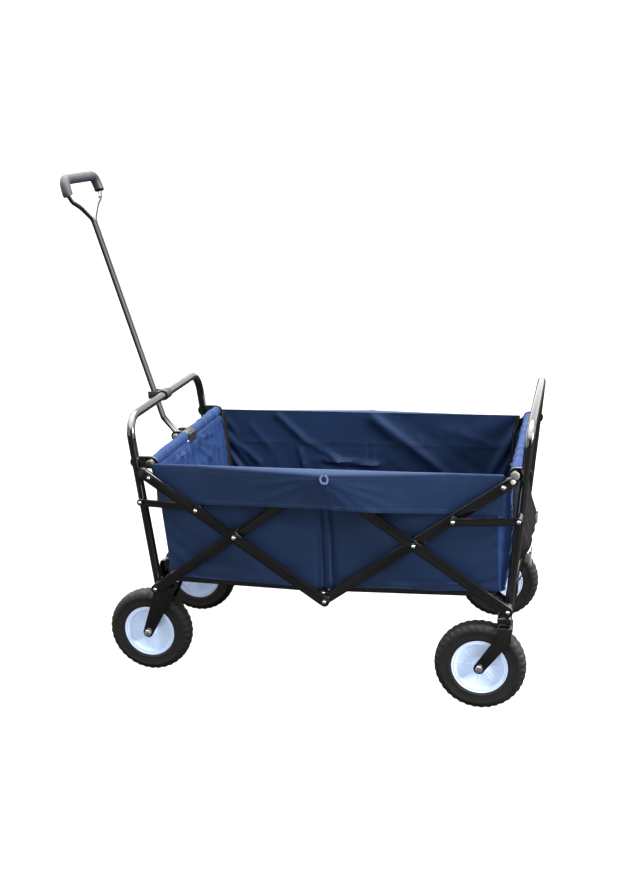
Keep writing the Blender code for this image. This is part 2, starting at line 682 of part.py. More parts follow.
for rear in (False, True):
    end = "rear" if rear else "front"
    pivot_x = LENGTH - RAIL_PIVOT_X if rear else RAIL_PIVOT_X
    turn = -1 if rear else 1
    outer_x = pivot_x + turn * 0.012
    inner_x = BAY - turn * 0.0004
    outline = [(outer_x, 0.2290), (inner_x, 0.2230), (inner_x, MAT_TOP), (outer_x, MAT_TOP)]
    make("floor_mat_" + end, navy("floor_mat_" + end), (pivot_x, 0, RAIL_PIVOT_Z),
         [prism(outline, -MAT_HALF, MAT_HALF)])

pouch = [
    (0.7135, 0.4300), (0.7200, 0.4250), (0.7460, 0.3300), (0.7430, 0.3150), (0.7240, 0.2620), (0.7090, 0.2620),
]
make("rear_pouch", paint("rear_pouch", FABRIC_BLACK, 0.9, 0.0), (0.7135, 0, 0.43), [prism(pouch, -0.150, 0.150)])

for item in bpy.data.objects:
    item.select_set(False)
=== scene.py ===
"""Looks for the folding camp wagon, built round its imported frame."""
import json
from math import atan2, copysign, cos, exp, hypot, pi, radians, sin, sqrt

import bmesh
import bpy
import numpy as np
from mathutils import Matrix, Vector


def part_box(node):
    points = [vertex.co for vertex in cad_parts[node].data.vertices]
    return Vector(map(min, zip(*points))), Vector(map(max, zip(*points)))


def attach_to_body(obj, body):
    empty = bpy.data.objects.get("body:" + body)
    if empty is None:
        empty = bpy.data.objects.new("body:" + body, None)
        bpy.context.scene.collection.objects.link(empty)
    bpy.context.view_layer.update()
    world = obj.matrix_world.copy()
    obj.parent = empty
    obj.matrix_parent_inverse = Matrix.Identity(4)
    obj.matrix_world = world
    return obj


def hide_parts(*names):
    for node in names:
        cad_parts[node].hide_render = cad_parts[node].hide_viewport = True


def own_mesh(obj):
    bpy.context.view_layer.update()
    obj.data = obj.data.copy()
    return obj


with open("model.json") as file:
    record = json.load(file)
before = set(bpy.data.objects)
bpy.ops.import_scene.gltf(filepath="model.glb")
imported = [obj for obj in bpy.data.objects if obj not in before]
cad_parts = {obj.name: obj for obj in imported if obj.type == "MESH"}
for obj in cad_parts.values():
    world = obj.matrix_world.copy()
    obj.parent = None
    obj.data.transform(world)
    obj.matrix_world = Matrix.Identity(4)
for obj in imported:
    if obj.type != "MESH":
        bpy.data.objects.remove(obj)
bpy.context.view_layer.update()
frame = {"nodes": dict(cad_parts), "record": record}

BODY_OF = {n: b for b, nodes in frame["record"]["behaviour"]["bodies"].items() for n in nodes}

# ---------------- layout, from the frame's front post pivot
BAY = 0.354                # from the front post pivot to the wagon's middle
LENGTH = 2 * BAY
PIVOT_Z = 0.2115
SLOPE_DEG, FOLD_DEG = 35.0, 41.6       # the struts' slope at rest, and how far it steepens in the fold
SLOPE = radians(SLOPE_DEG)
HALF = BAY / (2 * cos(SLOPE))
MID_F = (HALF * cos(SLOPE), PIVOT_Z + HALF * sin(SLOPE))
MID_R = (LENGTH - MID_F[0], MID_F[1])
TOP_PIN = (BAY, PIVOT_Z + 2 * HALF * sin(SLOPE))
LOW_PIN = (BAY, PIVOT_Z)
UPPER = HALF - 0.0123      # from a strut's middle to its upper rivet
STRUT_END = UPPER + 0.016  # from a strut's middle to the centre of its round end
LINK_AT = 0.092            # from a strut's middle to the short link's rivet
LINK_Z = 0.3945            # height of the short link's pivot on its post
LEAN = 0.109               # how far a post leans out for each metre of height
RAIL_X = {False: 0.0045, True: 0.7185}     # top rails, front and rear
RAIL_Z = 0.4735
FLOOR_X, FLOOR_Z = 0.045, 0.2305           # the floor rails' outer pivots, from each end
WHEEL_R = 0.089
END = {False: "front", True: "rear"}
SIDES = ((-1, "near"), (1, "far"))
TAG = dict(SIDES)
_lo, _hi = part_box("centre_cross_tube")
SX = (_lo.x + _hi.x) / 2 - BAY         # from the wagon's own x to the frame's
COLLECTION = bpy.context.scene.collection


def P(x, y, z):
    return Vector((x + SX, y, z))


def up_slope(start, way, dist):
    """The point dist up a strut from start, towards the rear if way is 1 and the front if it is -1."""
    return start[0] + way * cos(SLOPE) * dist, start[1] + sin(SLOPE) * dist


def post_x(z, rear):
    return LENGTH + LEAN * (z - PIVOT_Z) if rear else -LEAN * (z - PIVOT_Z)


# ---------------- camera
EYE = (0.85931, -2.32942, 1.13293)
YAW, PITCH, ROLL = radians(13.5337), radians(15.3246), radians(-2.1808)
ahead = Vector((-sin(YAW) * cos(PITCH), cos(YAW) * cos(PITCH), -sin(PITCH)))
across = Vector((cos(YAW), sin(YAW), 0.0))
upward = across.cross(ahead)
cam_x = cos(ROLL) * across + sin(ROLL) * upward
cam_y = -sin(ROLL) * across + cos(ROLL) * upward
cam_data = bpy.data.cameras.new("camera")
cam_data.sensor_width = 36.0
cam_data.lens = 48.8998
camera = bpy.data.objects.new("camera", cam_data)
COLLECTION.objects.link(camera)
turned = Matrix((cam_x, cam_y, -ahead)).transposed().to_4x4()
camera.matrix_world = Matrix.Translation(P(*EYE)) @ turned
bpy.context.scene.camera = camera
bpy.context.scene.view_settings.view_transform = "Standard"


# ---------------- materials
class Nodes:
    """Short calls for building a node tree. Each value may be a number, a colour or another node's output."""

    def __init__(self, tree):
        self.tree = tree

    def add(self, kind, **given):
        node = self.tree.nodes.new("ShaderNode" + kind)
        for key, value in given.items():
            if hasattr(node, key) and key not in node.inputs:
                setattr(node, key, value)
            else:
                self.feed(node, key, value)
        return node

    def feed(self, node, key, value):
        socket = node.inputs[key]
        if isinstance(value, bpy.types.NodeSocket):
            self.tree.links.new(value, socket)
        else:
            socket.default_value = value

    def math(self, op, a, b=0.0, clamp=False):
        node = self.tree.nodes.new("ShaderNodeMath")
        node.operation = op
        node.use_clamp = clamp
        self.feed(node, 0, a)
        self.feed(node, 1, b)
        return node.outputs[0]

    def mul(self, a, b):
        return self.math("MULTIPLY", a, b)

    def plus(self, a, b):
        return self.math("ADD", a, b)

    def noise(self, vector, scale, detail=3.0, rough=0.5):
        return self.add("TexNoise", Vector=vector, Scale=scale, Detail=detail, Roughness=rough).outputs["Fac"]

    def remap(self, value, a, b, c, d):
        node = self.tree.nodes.new("ShaderNodeMapRange")
        for key, v in zip(("Value", "From Min", "From Max", "To Min", "To Max"), (value, a, b, c, d)):
            self.feed(node, key, v)
        return node.outputs[0]

    def mix(self, fac, a, b):
        node = self.tree.nodes.new("ShaderNodeMix")
        node.data_type = "RGBA"
        for i, v in ((0, fac), (6, a), (7, b)):
            if isinstance(v, bpy.types.NodeSocket):
                self.tree.links.new(v, node.inputs[i])
            else:
                node.inputs[i].default_value = v
        return node.outputs[2]

    def bump(self, height, distance, strength=1.0, normal=None):
        node = self.add("Bump", Height=height, Distance=distance, Strength=strength)
        if normal is not None:
            self.feed(node, "Normal", normal)
        return node.outputs[0]


def rgb(c, k=1.0):
    return (c[0] * k, c[1] * k, c[2] * k, 1.0)


def begin(name):
    mat = bpy.data.materials.new(name)
    mat.use_nodes = True
    n = Nodes(mat.node_tree)
    return mat, n, mat.node_tree.nodes["Principled BSDF"], n.add("TexCoord").outputs["Object"]


def powder_coat(name):
    """Smooth black coating, a little worn on sharp edges."""
    colour, rough, wear = (0.003, 0.003, 0.0034), 0.13, 0.02
    mat, n, bsdf, co = begin(name)
    broad = n.noise(co, 9.0, 4.0)
    fine = n.noise(co, 1500.0, 2.0)
    edge = n.add("NewGeometry").outputs["Pointiness"]
    patches = n.remap(n.noise(co, 120.0), 0.45, 0.65, 0.0, 1.0)
    worn = n.math("MULTIPLY", n.remap(edge, 0.56, 0.72, 0.0, 0.7), patches, True)
    base = n.mix(n.remap(broad, 0.35, 0.65, 0.0, 1.0), rgb(colour, 0.8), rgb(colour, 1.5))
    n.feed(bsdf, "Base Color", n.mix(worn, base, (wear, wear, wear * 1.05, 1.0)))
    n.feed(bsdf, "Roughness", n.remap(n.noise(co, 35.0, 5.0), 0.3, 0.7, rough - 0.03, rough + 0.05))
    n.feed(bsdf, "Normal", n.bump(fine, 0.00003, 0.4))
    n.feed(bsdf, "Specular IOR Level", 0.5)
    n.feed(bsdf, "Coat Weight", 0.8)
    n.feed(bsdf, "Coat Roughness", 0.04)
    return mat


BLUE_SHEEN, GREY_SHEEN = (0.22, 0.42, 0.85), (0.6, 0.6, 0.6)


def cloth(name, colour, axes, pitch=0.0011, sheen=0.16, rough=0.62, weave=0.5, tint=BLUE_SHEEN):
    """A plain woven cloth; axes are the two directions of its threads."""
    mat, n, bsdf, co = begin(name)
    split = n.add("SeparateXYZ", Vector=co)
    turns = 2 * pi / pitch
    wave = [n.math("SINE", n.mul(split.outputs[a], turns)) for a in axes]
    threads = n.mul(wave[0], wave[1])
    slub = n.noise(co, 420.0, 3.0, 0.6)
    broad = n.noise(co, 7.0, 5.0, 0.6)
    shade = n.plus(n.remap(broad, 0.3, 0.7, -0.16, 0.16), n.remap(slub, 0.3, 0.7, -0.14, 0.14))
    shade = n.plus(shade, n.mul(threads, 0.1))
    depth = n.remap(shade, -0.4, 0.4, 0.0, 1.0)
    n.feed(bsdf, "Base Color", n.mix(depth, rgb(colour, 0.55), rgb(colour, 1.45)))
    n.feed(bsdf, "Roughness", n.remap(slub, 0.3, 0.7, rough - 0.07, rough + 0.07))
    crumple = n.bump(n.noise(co, 38.0, 6.0, 0.62), 0.0016, 0.35)
    woven = n.plus(n.mul(threads, 0.5), slub)
    n.feed(bsdf, "Normal", n.bump(woven, 0.00012, weave, crumple))
    n.feed(bsdf, "Specular IOR Level", 0.18)
    n.feed(bsdf, "Sheen Weight", sheen)
    n.feed(bsdf, "Sheen Roughness", 0.45)
    n.feed(bsdf, "Sheen Tint", rgb(tint))
    return mat


def moulded(name, colour, rough=0.45, grain=0.0001, spread=0.12, spec=0.5, grit=600.0):
    """Plastic, rubber or paint: uneven in colour by spread, with bumps grain high and grit to a metre."""
    mat, n, bsdf, co = begin(name)
    blotch = n.noise(co, 24.0, 5.0, 0.65)
    n.feed(bsdf, "Base Color", n.mix(blotch, rgb(colour, 1 - spread), rgb(colour, 1 + spread)))
    n.feed(bsdf, "Roughness", n.remap(n.noise(co, 70.0, 4.0), 0.3, 0.7, rough - 0.07, rough + 0.1))
    n.feed(bsdf, "Normal", n.bump(n.noise(co, grit, 3.0), grain, 0.6))
    n.feed(bsdf, "Specular IOR Level", spec)
    return mat


def zinc(name, colour=(0.62, 0.62, 0.6), rough=0.3):
    """Bright plating with small crystals."""
    mat, n, bsdf, co = begin(name)
    cell = n.add("TexVoronoi", Vector=co, Scale=420.0).outputs["Color"]
    grey = n.add("SeparateColor", Color=cell).outputs[0]
    n.feed(bsdf, "Base Color", n.mix(grey, rgb(colour, 0.75), rgb(colour, 1.15)))
    n.feed(bsdf, "Roughness", n.remap(grey, 0.0, 1.0, rough - 0.08, rough + 0.12))
    n.feed(bsdf, "Normal", n.bump(n.noise(co, 700.0, 4.0), 0.00005, 0.7))
    n.feed(bsdf, "Metallic", 0.95)
    return mat


def mesh_cloth(name):
    """Open black netting: small holes between knitted cords, drawn by bump, with painted shade darkening the
    holes.
    """
    colour, turns = (0.0028, 0.0028, 0.0031), 2 * pi / 0.0026
    mat, n, bsdf, co = begin(name)
    split = n.add("SeparateXYZ", Vector=co)
    a, b = (n.math("SINE", n.mul(split.outputs[k], turns)) for k in (1, 2))
    hole_and_shade = n.remap(n.mul(a, b), 0.1, 0.55, 0.0, 1.0)
    # Painted shade: the holes are darkened, standing in for the shaded space behind the net.
    n.feed(bsdf, "Base Color", n.mix(hole_and_shade, rgb(colour, 2.2), rgb(colour, 0.25)))
    n.feed(bsdf, "Normal", n.bump(hole_and_shade, 0.0005, -0.8))
    n.feed(bsdf, "Roughness", 0.8)
    n.feed(bsdf, "Specular IOR Level", 0.08)
    return mat


NAVY = (0.0062, 0.0195, 0.059)
# The end cloth's colour is the navy cloth made lighter: painted light for the end panels that face the key
# lamp.
NAVY_PAINTED_LIGHTER = (0.0085, 0.0265, 0.098)
STEEL = powder_coat("black_powder_coat")
SIDE_CLOTH = cloth("navy_side", NAVY, (0, 2))
END_CLOTH = cloth("navy_end", NAVY_PAINTED_LIGHTER, (1, 2))
FLOOR_CLOTH = cloth("navy_floor", NAVY, (0, 1))
NET = mesh_cloth("black_net")
TAPE = cloth("black_tape", (0.01, 0.01, 0.011), (1, 2), 0.0016, 0.15, 0.75, 0.9, GREY_SHEEN)
THREAD = moulded("dark_thread", (0.01, 0.013, 0.03), 0.8, 0.0002)
RUBBER = moulded("tyre_rubber", (0.005, 0.0049, 0.0046), 0.66, 0.0003, 0.35, 0.3, 260.0)
RIM = moulded("pale_rim", (0.6, 0.73, 0.96), 0.4, 0.0002, 0.05, 0.4, 90.0)
ZINC = zinc("zinc")
BOLT = zinc("dull_bolt", (0.33, 0.34, 0.3), 0.42)
CAP = moulded("grey_cap", (0.145, 0.15, 0.145), 0.42, 0.0001)
PALE_CAP = moulded("pale_cap", (0.52, 0.47, 0.48), 0.4, 0.0001)
BLACK_PLASTIC = moulded("black_plastic", (0.01, 0.01, 0.011), 0.42)
GRIP = moulded("grip_foam", (0.02, 0.021, 0.027), 0.5, 0.0003, 0.25, 0.5, 900.0)


# ---------------- mesh helpers
def from_bm(bm, name, mat, smooth=35.0):
    bmesh.ops.recalc_face_normals(bm, faces=bm.faces[:])
    mesh = bpy.data.meshes.new(name)
    bm.to_mesh(mesh)
    bm.free()
    obj = bpy.data.objects.new(name, mesh)
    COLLECTION.objects.link(obj)
    mesh.materials.append(mat)
    finish_mesh(mesh, smooth)
    return obj


def from_lists(verts, faces, name, mat, smooth):
    mesh = bpy.data.meshes.new(name)
    mesh.from_pydata(verts.tolist(), [], faces.tolist())
    bm = bmesh.new()
    bm.from_mesh(mesh)
    bpy.data.meshes.remove(mesh)
    return from_bm(bm, name, mat, smooth)


def finish_mesh(mesh, smooth):
    mesh.shade_smooth()
    mesh.set_sharp_from_angle(angle=radians(smooth))


def apply_mods(obj):
    graph = bpy.context.evaluated_depsgraph_get()
    mesh = bpy.data.meshes.new_from_object(obj.evaluated_get(graph))
    obj.modifiers.clear()
    obj.data = mesh


def stands_for(obj, node):
    """Takes a CAD node's place in the picture."""
    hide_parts(node)
    return obj


def softened(node, mat, width, segments=2):
    """A CAD node's own shape with its hard edges rounded."""
    source = frame["nodes"][node]
    bm = bmesh.new()
    bm.from_mesh(source.data)
    bm.transform(source.matrix_world)
    bmesh.ops.remove_doubles(bm, verts=bm.verts[:], dist=0.00002)
    bmesh.ops.dissolve_limit(bm, angle_limit=0.01, verts=bm.verts[:], edges=bm.edges[:])
    obj = from_bm(bm, "v_" + node, mat)
    mod = obj.modifiers.new("bevel", "BEVEL")
    mod.width = width
    mod.segments = segments
    mod.limit_method = "ANGLE"
    mod.angle_limit = radians(40)
    mod.miter_outer = "MITER_ARC"
    apply_mods(obj)
    finish_mesh(obj.data, 32.0)
    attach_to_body(stands_for(obj, node), BODY_OF[node])


def band(bm, low, high):
    """Faces between two closed rings of as many points."""
    for k in range(len(low)):
        k2 = (k + 1) % len(low)
        bm.faces.new((low[k], low[k2], high[k2], high[k]))


def revolve(bm, profile, centre, axis, count):
    """Spins (radius, along) points round an axis through centre. A point of no radius closes its end."""
    axis = Vector(axis).normalized()
    u = axis.orthogonal().normalized()
    w = axis.cross(u)
    rings = []
    for r, a in profile:
        if r < 1e-6:
            rings.append([bm.verts.new(centre + axis * a)])
            continue
        ring = []
        for k in range(count):
            t = 2 * pi * k / count
            out = u * cos(t) + w * sin(t)
            ring.append(bm.verts.new(centre + axis * a + out * r))
        rings.append(ring)
    for low, high in zip(rings, rings[1:]):
        for k in range(count):
            k2 = (k + 1) % count
            corners = low[k % len(low)], low[k2 % len(low)], high[k2 % len(high)], high[k % len(high)]
            face = list(dict.fromkeys(corners))
            if len(face) > 2:
                bm.faces.new(face)


def tube(bm, points, radius, sides, flat, up):
    """A round or oval bar along a list of points. Its width along up is its other width times flat."""
    pts = [Vector(p) for p in points]
    last = len(pts) - 1
    tangents = [(pts[min(i + 1, last)] - pts[max(i - 1, 0)]).normalized() for i in range(len(pts))]
    normal = up.normalized()
    rings = []
    for p, t in zip(pts, tangents):
        normal = (normal - t * normal.dot(t)).normalized()
        side = t.cross(normal)
        ring = []
        for k in range(sides):
            a = 2 * pi * k / sides
            out = normal * (radius * flat * cos(a)) + side * (radius * sin(a))
            ring.append(bm.verts.new(p + out))
        rings.append(ring)
    for low, high in zip(rings, rings[1:]):
        band(bm, low, high)
    bm.faces.new(rings[0])
    bm.faces.new(rings[-1])


def rounded_box(bm, lo, hi, r):
    made = bmesh.ops.create_cube(bm, size=1.0)["verts"]
    lo, hi = Vector(lo), Vector(hi)
    for v in made:
        v.co = Vector([lo[i] + (v.co[i] + 0.5) * (hi[i] - lo[i]) for i in range(3)])
    edges = {e for v in made for e in v.link_edges}
    bmesh.ops.bevel(bm, geom=list(edges), offset=r, segments=3, affect="EDGES", profile=0.6)


# ---------------- cloth
def pull(g, a, b, rest, w, k=1.0):
    """Moves two sets of points towards their rest distance; w is 0 at a pinned point and 1 elsewhere."""
    d = g[b] - g[a]
    length = np.sqrt((d * d).sum(-1, keepdims=True)) + 1e-12
    wa, wb = w[a][..., None], w[b][..., None]
    c = k * (length - rest) / length * d / (wa + wb + 1e-9)
    g[a] += wa * c
    g[b] -= wb * c


def neighbours(g):
    """Mean of the four neighbours of each inner point."""
    return (g[:-2, 1:-1] + g[2:, 1:-1] + g[1:-1, :-2] + g[1:-1, 2:]) / 4


def drape(g, fixed, du, dv, limits, steps, bend, seed, axis=1):
    """Lets a grid settle as cloth. Its threads are du and dv long between points, it is pinned where fixed,
    and it stays inside limits along one axis. A small seeded roughness starts the creases."""
    weight, kick = 0.0002, 0.004
    rng = np.random.default_rng(seed)
    nv, nu = fixed.shape
    w = np.where(fixed, 0.0, 1.0)
    rough = rng.normal(size=(nv, nu))
    for _ in range(14):
        rough[1:-1, 1:-1] = neighbours(rough)
    g = g.copy()
    g[..., axis] += w * rough / (np.abs(rough).max() + 1e-9) * kick
    old = g.copy()
    diag = hypot(du, dv)
    full = slice(None)
    for step in range(steps):
        move = (g - old) * 0.96
        old = g.copy()
        g = g + move * w[..., None]
        g[..., 2] -= weight * w * (1 if step < steps * 0.8 else 0.3)
        for _ in range(3):
            for s in (0, 1):
                n = (nu - s) // 2 * 2
                pull(g, (full, slice(s, s + n, 2)), (full, slice(s + 1, s + n, 2)), du, w)
                m = (nv - s) // 2 * 2
                pull(g, (slice(s, s + m, 2), full), (slice(s + 1, s + m, 2), full), dv, w)
            for s in (0, 1):
                n = (nu - s) // 2 * 2
                a, b = slice(s, s + n, 2), slice(s + 1, s + n, 2)
                pull(g, (slice(0, nv - 1), a), (slice(1, nv), b), diag, w, 0.35)
                pull(g, (slice(1, nv), a), (slice(0, nv - 1), b), diag, w, 0.35)
        g[1:-1, 1:-1] += bend * w[1:-1, 1:-1, None] * (neighbours(g) - g[1:-1, 1:-1])
        g[..., axis] = np.where(fixed, g[..., axis], np.clip(g[..., axis], *limits))
    return g


def normals_of(g):
    a = np.gradient(g, axis=1)
    b = np.gradient(g, axis=0)
    n = np.cross(a, b)
    return n / (np.linalg.norm(n, axis=-1, keepdims=True) + 1e-12)


class Sheet:
    """A cloth grid of points in the wagon's own frame, with calls that follow its surface."""

    def __init__(self, g):
        self.g = g
        self.n = normals_of(g)

    def at(self, u, v, lift=0.0):
        nv, nu = self.g.shape[:2]
        x, y = min(max(u, 0), 1) * (nu - 1), min(max(v, 0), 1) * (nv - 1)
        i, j = min(int(x), nu - 2), min(int(y), nv - 2)
        fx, fy = x - i, y - j
        w = ((1 - fx) * (1 - fy), fx * (1 - fy), (1 - fx) * fy, fx * fy)
        cells = ((j, i), (j, i + 1), (j + 1, i), (j + 1, i + 1))
        p = sum(k * self.g[c] for k, c in zip(w, cells))
        n = sum(k * self.n[c] for k, c in zip(w, cells))
        n = n / (np.linalg.norm(n) + 1e-12)
        return Vector(p + n * lift) + Vector((SX, 0, 0)), Vector(n)

    def mesh(self, name, mat, thick, extra=None):
        """A thin closed shell; extra adds thickness at each point, for hems and facings."""
        nv, nu = self.g.shape[:2]
        half = thick / 2 + (extra if extra is not None else 0.0) * np.ones((nv, nu))
        top = (self.g + self.n * half[..., None]).reshape(-1, 3)
        low = (self.g - self.n * half[..., None]).reshape(-1, 3)
        verts = np.concatenate([top, low]) + np.array([SX, 0, 0])
        idx = np.arange(nu * nv).reshape(nv, nu)
        q = np.stack([idx[:-1, :-1], idx[:-1, 1:], idx[1:, 1:], idx[1:, :-1]], -1).reshape(-1, 4)
        faces = [q, q[:, ::-1] + nu * nv]
        rim = np.concatenate([idx[0, :], idx[1:, -1], idx[-1, -2::-1], idx[-2:0:-1, 0]])
        nxt = np.roll(rim, -1)
        faces.append(np.stack([nxt, rim, rim + nu * nv, nxt + nu * nv], -1))
        return from_lists(verts, np.concatenate(faces), name, mat, 50.0)


def part(sheet, a, b):
    """Columns a to b of a sheet, with the normals of the whole, so that no seam shows between halves."""
    half = Sheet.__new__(Sheet)
    half.g, half.n = sheet.g[:, a:b + 1], sheet.n[:, a:b + 1]
    return half


def grid(nu, nv, fn):
    return np.array([[fn(i / (nu - 1), j / (nv - 1)) for i in range(nu)] for j in range(nv)], float)


def one_stitch(bm, here, there, out, r):
    """A dash of thread whose two ends dip into the cloth."""
    s = (there - here).normalized().cross(out).normalized() * r
    t = out * r
    ends = [bm.verts.new(here - t * 1.2), bm.verts.new(there - t * 1.2)]
    near, far = here.lerp(there, 0.22), here.lerp(there, 0.78)
    ring0 = [bm.verts.new(near + o) for o in (s, t, -s, -t)]
    ring1 = [bm.verts.new(far + o) for o in (s, t, -s, -t)]
    for k in range(4):
        k2 = (k + 1) % 4
        bm.faces.new((ring0[k], ring0[k2], ring1[k2], ring1[k]))
        bm.faces.new((ends[0], ring0[k2], ring0[k]))
        bm.faces.new((ends[1], ring1[k], ring1[k2]))


def stitches(name, sheet, u0, u1, v, body, lift):
    """Thread dashes on a sheet, along its row v from u0 to u1."""
    dash, gap, r = 0.003, 0.0014, 0.00042
    n = max(2, int(180 * abs(u1 - u0)))
    pts = [sheet.at(u0 + (u1 - u0) * k / n, v, lift) for k in range(n + 1)]
    bm = bmesh.new()
    walked = 0.0
    for (a, na), (b, _) in zip(pts, pts[1:]):
        step = (b - a).length
        if step < 1e-7:
            continue
        pos = 0.0
        while pos < step:
            phase = (walked + pos) % (dash + gap)
            left = dash - phase
            if left > 0.0004:
                here = a.lerp(b, pos / step)
                there = a.lerp(b, min(1.0, (pos + left) / step))
                if (there - here).length > 0.0004:
                    one_stitch(bm, here, there, na, r)
                pos += left + gap
            else:
                pos += dash + gap - phase
        walked += step
    return attach(from_bm(bm, name, THREAD, 60.0), body)


FOLD_KEEP = cos(radians(SLOPE_DEG + FOLD_DEG)) / cos(SLOPE)
FLOOR_KEEP = 0.85
SHORTENS = {
    "bag_front": (P(MID_F[0], 0, MID_F[1]), FOLD_KEEP), "bag_rear": (P(MID_R[0], 0, MID_R[1]), FOLD_KEEP),
    "floor_front": (P(FLOOR_X, 0, FLOOR_Z), FLOOR_KEEP),
    "floor_rear": (P(LENGTH - FLOOR_X, 0, FLOOR_Z), FLOOR_KEEP),
}


def attach(obj, body):
    """Rides on a body. Cloth on the folding bodies also gets a mesh of its own."""
    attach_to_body(obj, body)
    if body in SHORTENS:
        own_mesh(obj)
    return obj


def ridge(px, pz, a, b, width):
    """How near each point is to the line from a to b, 1 on it and falling to 0 over width."""
    ax, az, bx, bz = *a, *b
    dx, dz = bx - ax, bz - az
    t = np.clip(((px - ax) * dx + (pz - az) * dz) / (dx * dx + dz * dz), 0, 1)
    d = np.hypot(px - ax - t * dx, pz - az - t * dz)
    return np.exp(-np.abs(d / width) ** 1.35) * np.clip(8 * np.minimum(t + 0.05, 1.05 - t), 0, 1)


# ---------------- steel frame, with its edges rounded
EDGE_ROUND = {             # a star stands for near and far
    "front_hoop": 0.0005, "rear_hoop": 0.0005, "front_top_rail": 0.0006, "rear_top_rail": 0.0006,
    "front_cross_member": 0.0015, "rear_cross_member": 0.0015, "centre_cross_tube": 0.0008,
    "caster_housing_*": 0.0022, "handle_bracket": 0.0007,
    "strut_a_near": 0.004, "strut_a_far": 0.0034, "strut_b_*": 0.0034, "strut_c_*": 0.0034,
    "strut_d_near": 0.004, "strut_d_far": 0.0034, "link_front_*": 0.0012, "link_rear_*": 0.0012,
    "rail_front_*": 0.0012, "rail_rear_*": 0.0012, "front_fork_*": 0.0007, "caster_fork_*": 0.0007,
    "handle_rod": 0.0004,
}
for label, width in EDGE_ROUND.items():
    for node in dict.fromkeys(label.replace("*", tag) for _, tag in SIDES):
        softened(node, STEEL, width)
for node in ("front_axle_near", "front_axle_far", "rear_axle_near", "rear_axle_far"):
    softened(node, ZINC, 0.0006)
softened("handle_bolt", BOLT, 0.0007)
softened("handle_clip", BLACK_PLASTIC, 0.0008)
softened("handle_grip", GRIP, 0.0016, 3)


# ---------------- rivet heads
def rivet(name, body, at, side, y, r, high):
    """A low dome on the face y of a strut; at is its place (x, z)."""
    bm = bmesh.new()
    profile = [(0.0, high), (r * 0.28, high * 0.98), (r * 0.6, high * 0.82), (r * 0.86, high * 0.5)]
    profile += [(r, 0.0002), (r, -0.0004)]
    revolve(bm, profile, P(at[0], side * y, at[1]), (0, side, 0), 20)
    obj = from_bm(bm, name, ZINC)
    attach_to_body(obj, body)


RIVETS = [                 # name, body, place (x, z), face, radius
    ("a_top", "strut_a", up_slope(MID_F, -1, UPPER), 0.2494, 0.0033),
    ("q_front", "strut_a", up_slope(MID_F, -1, LINK_AT), 0.2494, 0.0034),
    ("mid_front", "strut_b", MID_F, 0.25, 0.0036),
    ("mid_rear", "strut_d", MID_R, 0.25, 0.0036),
    ("low", "strut_d", LOW_PIN, 0.25, 0.0034),
    ("top", "strut_b", TOP_PIN, 0.25, 0.004),
    ("d_top", "strut_d", up_slope(MID_R, 1, UPPER), 0.2349, 0.0036),
    ("q_rear", "link_rear", up_slope(MID_R, 1, LINK_AT), 0.2564, 0.0036),
    ("o_front", "front_frame", (0.0, PIVOT_Z), 0.2355, 0.0034),
    ("o_rear", "rear_frame", (LENGTH, PIVOT_Z), 0.25, 0.0036),
    ("p_front", "front_frame", (post_x(LINK_Z, False), LINK_Z), 0.231, 0.0032),
    ("p_rear", "rear_frame", (post_x(LINK_Z, True), LINK_Z), 0.257, 0.0036),
    ("rail_mid", "floor_front", (BAY + 0.004, 0.224), 0.2169, 0.0028),
]
DOME, FLAT_DOME = 0.0016, 0.0006       # the top pin's head is flat, under the flap
for label, body, at, y, r in RIVETS:
    for side, tag in SIDES:
        rivet(f"rivet_{label}_{tag}", body, at, side, y, r, FLAT_DOME if label == "top" else DOME)


# ---------------- plastic caps, plugs and bracket lining
def cap(name, body, centre, direction, r, length, mat, flange):
    """A push-in cap whose flange closes the end of a tube."""
    bm = bmesh.new()
    profile = [(0.0, length), (r * 0.55, length), (r * 0.86, length * 0.86), (r, length * 0.55), (r, 0.0012)]
    profile += [(r + flange, 0.0008), (r + flange, -0.0012), (r * 0.8, -0.0014), (0.0, -0.0014)]
    revolve(bm, profile, centre, direction, 24)
    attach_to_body(from_bm(bm, name, mat), body)


def strut_cap(kind, middle, way, layer, side):
    """A round-ended cap over a strut's upper end; layer holds the strut's inner and outer faces."""
    radius, skirt, lap = 0.0106, 0.003, 0.0003
    end = up_slope(middle, way, STRUT_END)
    y0, y1 = sorted((side * (layer[0] - lap), side * (layer[1] + lap)))
    base = atan2(sin(SLOPE), way * cos(SLOPE))
    turns = [base - pi / 2 + pi * k / 12 for k in range(13)]
    arc = [(end[0] + radius * cos(t), end[1] + radius * sin(t)) for t in turns]
    dx, dz = cos(base) * skirt, sin(base) * skirt
    outline = [(arc[0][0] - dx, arc[0][1] - dz), *arc, (arc[-1][0] - dx, arc[-1][1] - dz)]
    bm = bmesh.new()
    low = [bm.verts.new(P(x, y0, z)) for x, z in outline]
    high = [bm.verts.new(P(x, y1, z)) for x, z in outline]
    bm.faces.new(low)
    bm.faces.new(high)
    band(bm, low, high)
    sharp = [e for e in bm.edges if len(e.link_faces) == 2 and any(len(f.verts) > 4 for f in e.link_faces)]
    bmesh.ops.bevel(bm, geom=sharp, offset=0.0018, segments=3, affect="EDGES")
    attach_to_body(from_bm(bm, f"strut_cap_{kind}_{TAG[side]}", BLACK_PLASTIC), "strut_" + kind)


bm = bmesh.new()
lining = [(0.0102, 0.0212), (0.0114, 0.0208), (0.0118, 0.02)]
lining += [(r, -y) for r, y in reversed(lining)]
revolve(bm, lining, P(RAIL_X[False], 0.0, RAIL_Z), (0, 1, 0), 28)
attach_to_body(from_bm(bm, "handle_bracket_bush", BLACK_PLASTIC), "front_frame")
bm = bmesh.new()
rounded_box(bm, P(0.0154, -0.0205, 0.4585), P(0.019, 0.0205, 0.48), 0.0012)
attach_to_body(from_bm(bm, "handle_bracket_pad", BLACK_PLASTIC), "front_frame")

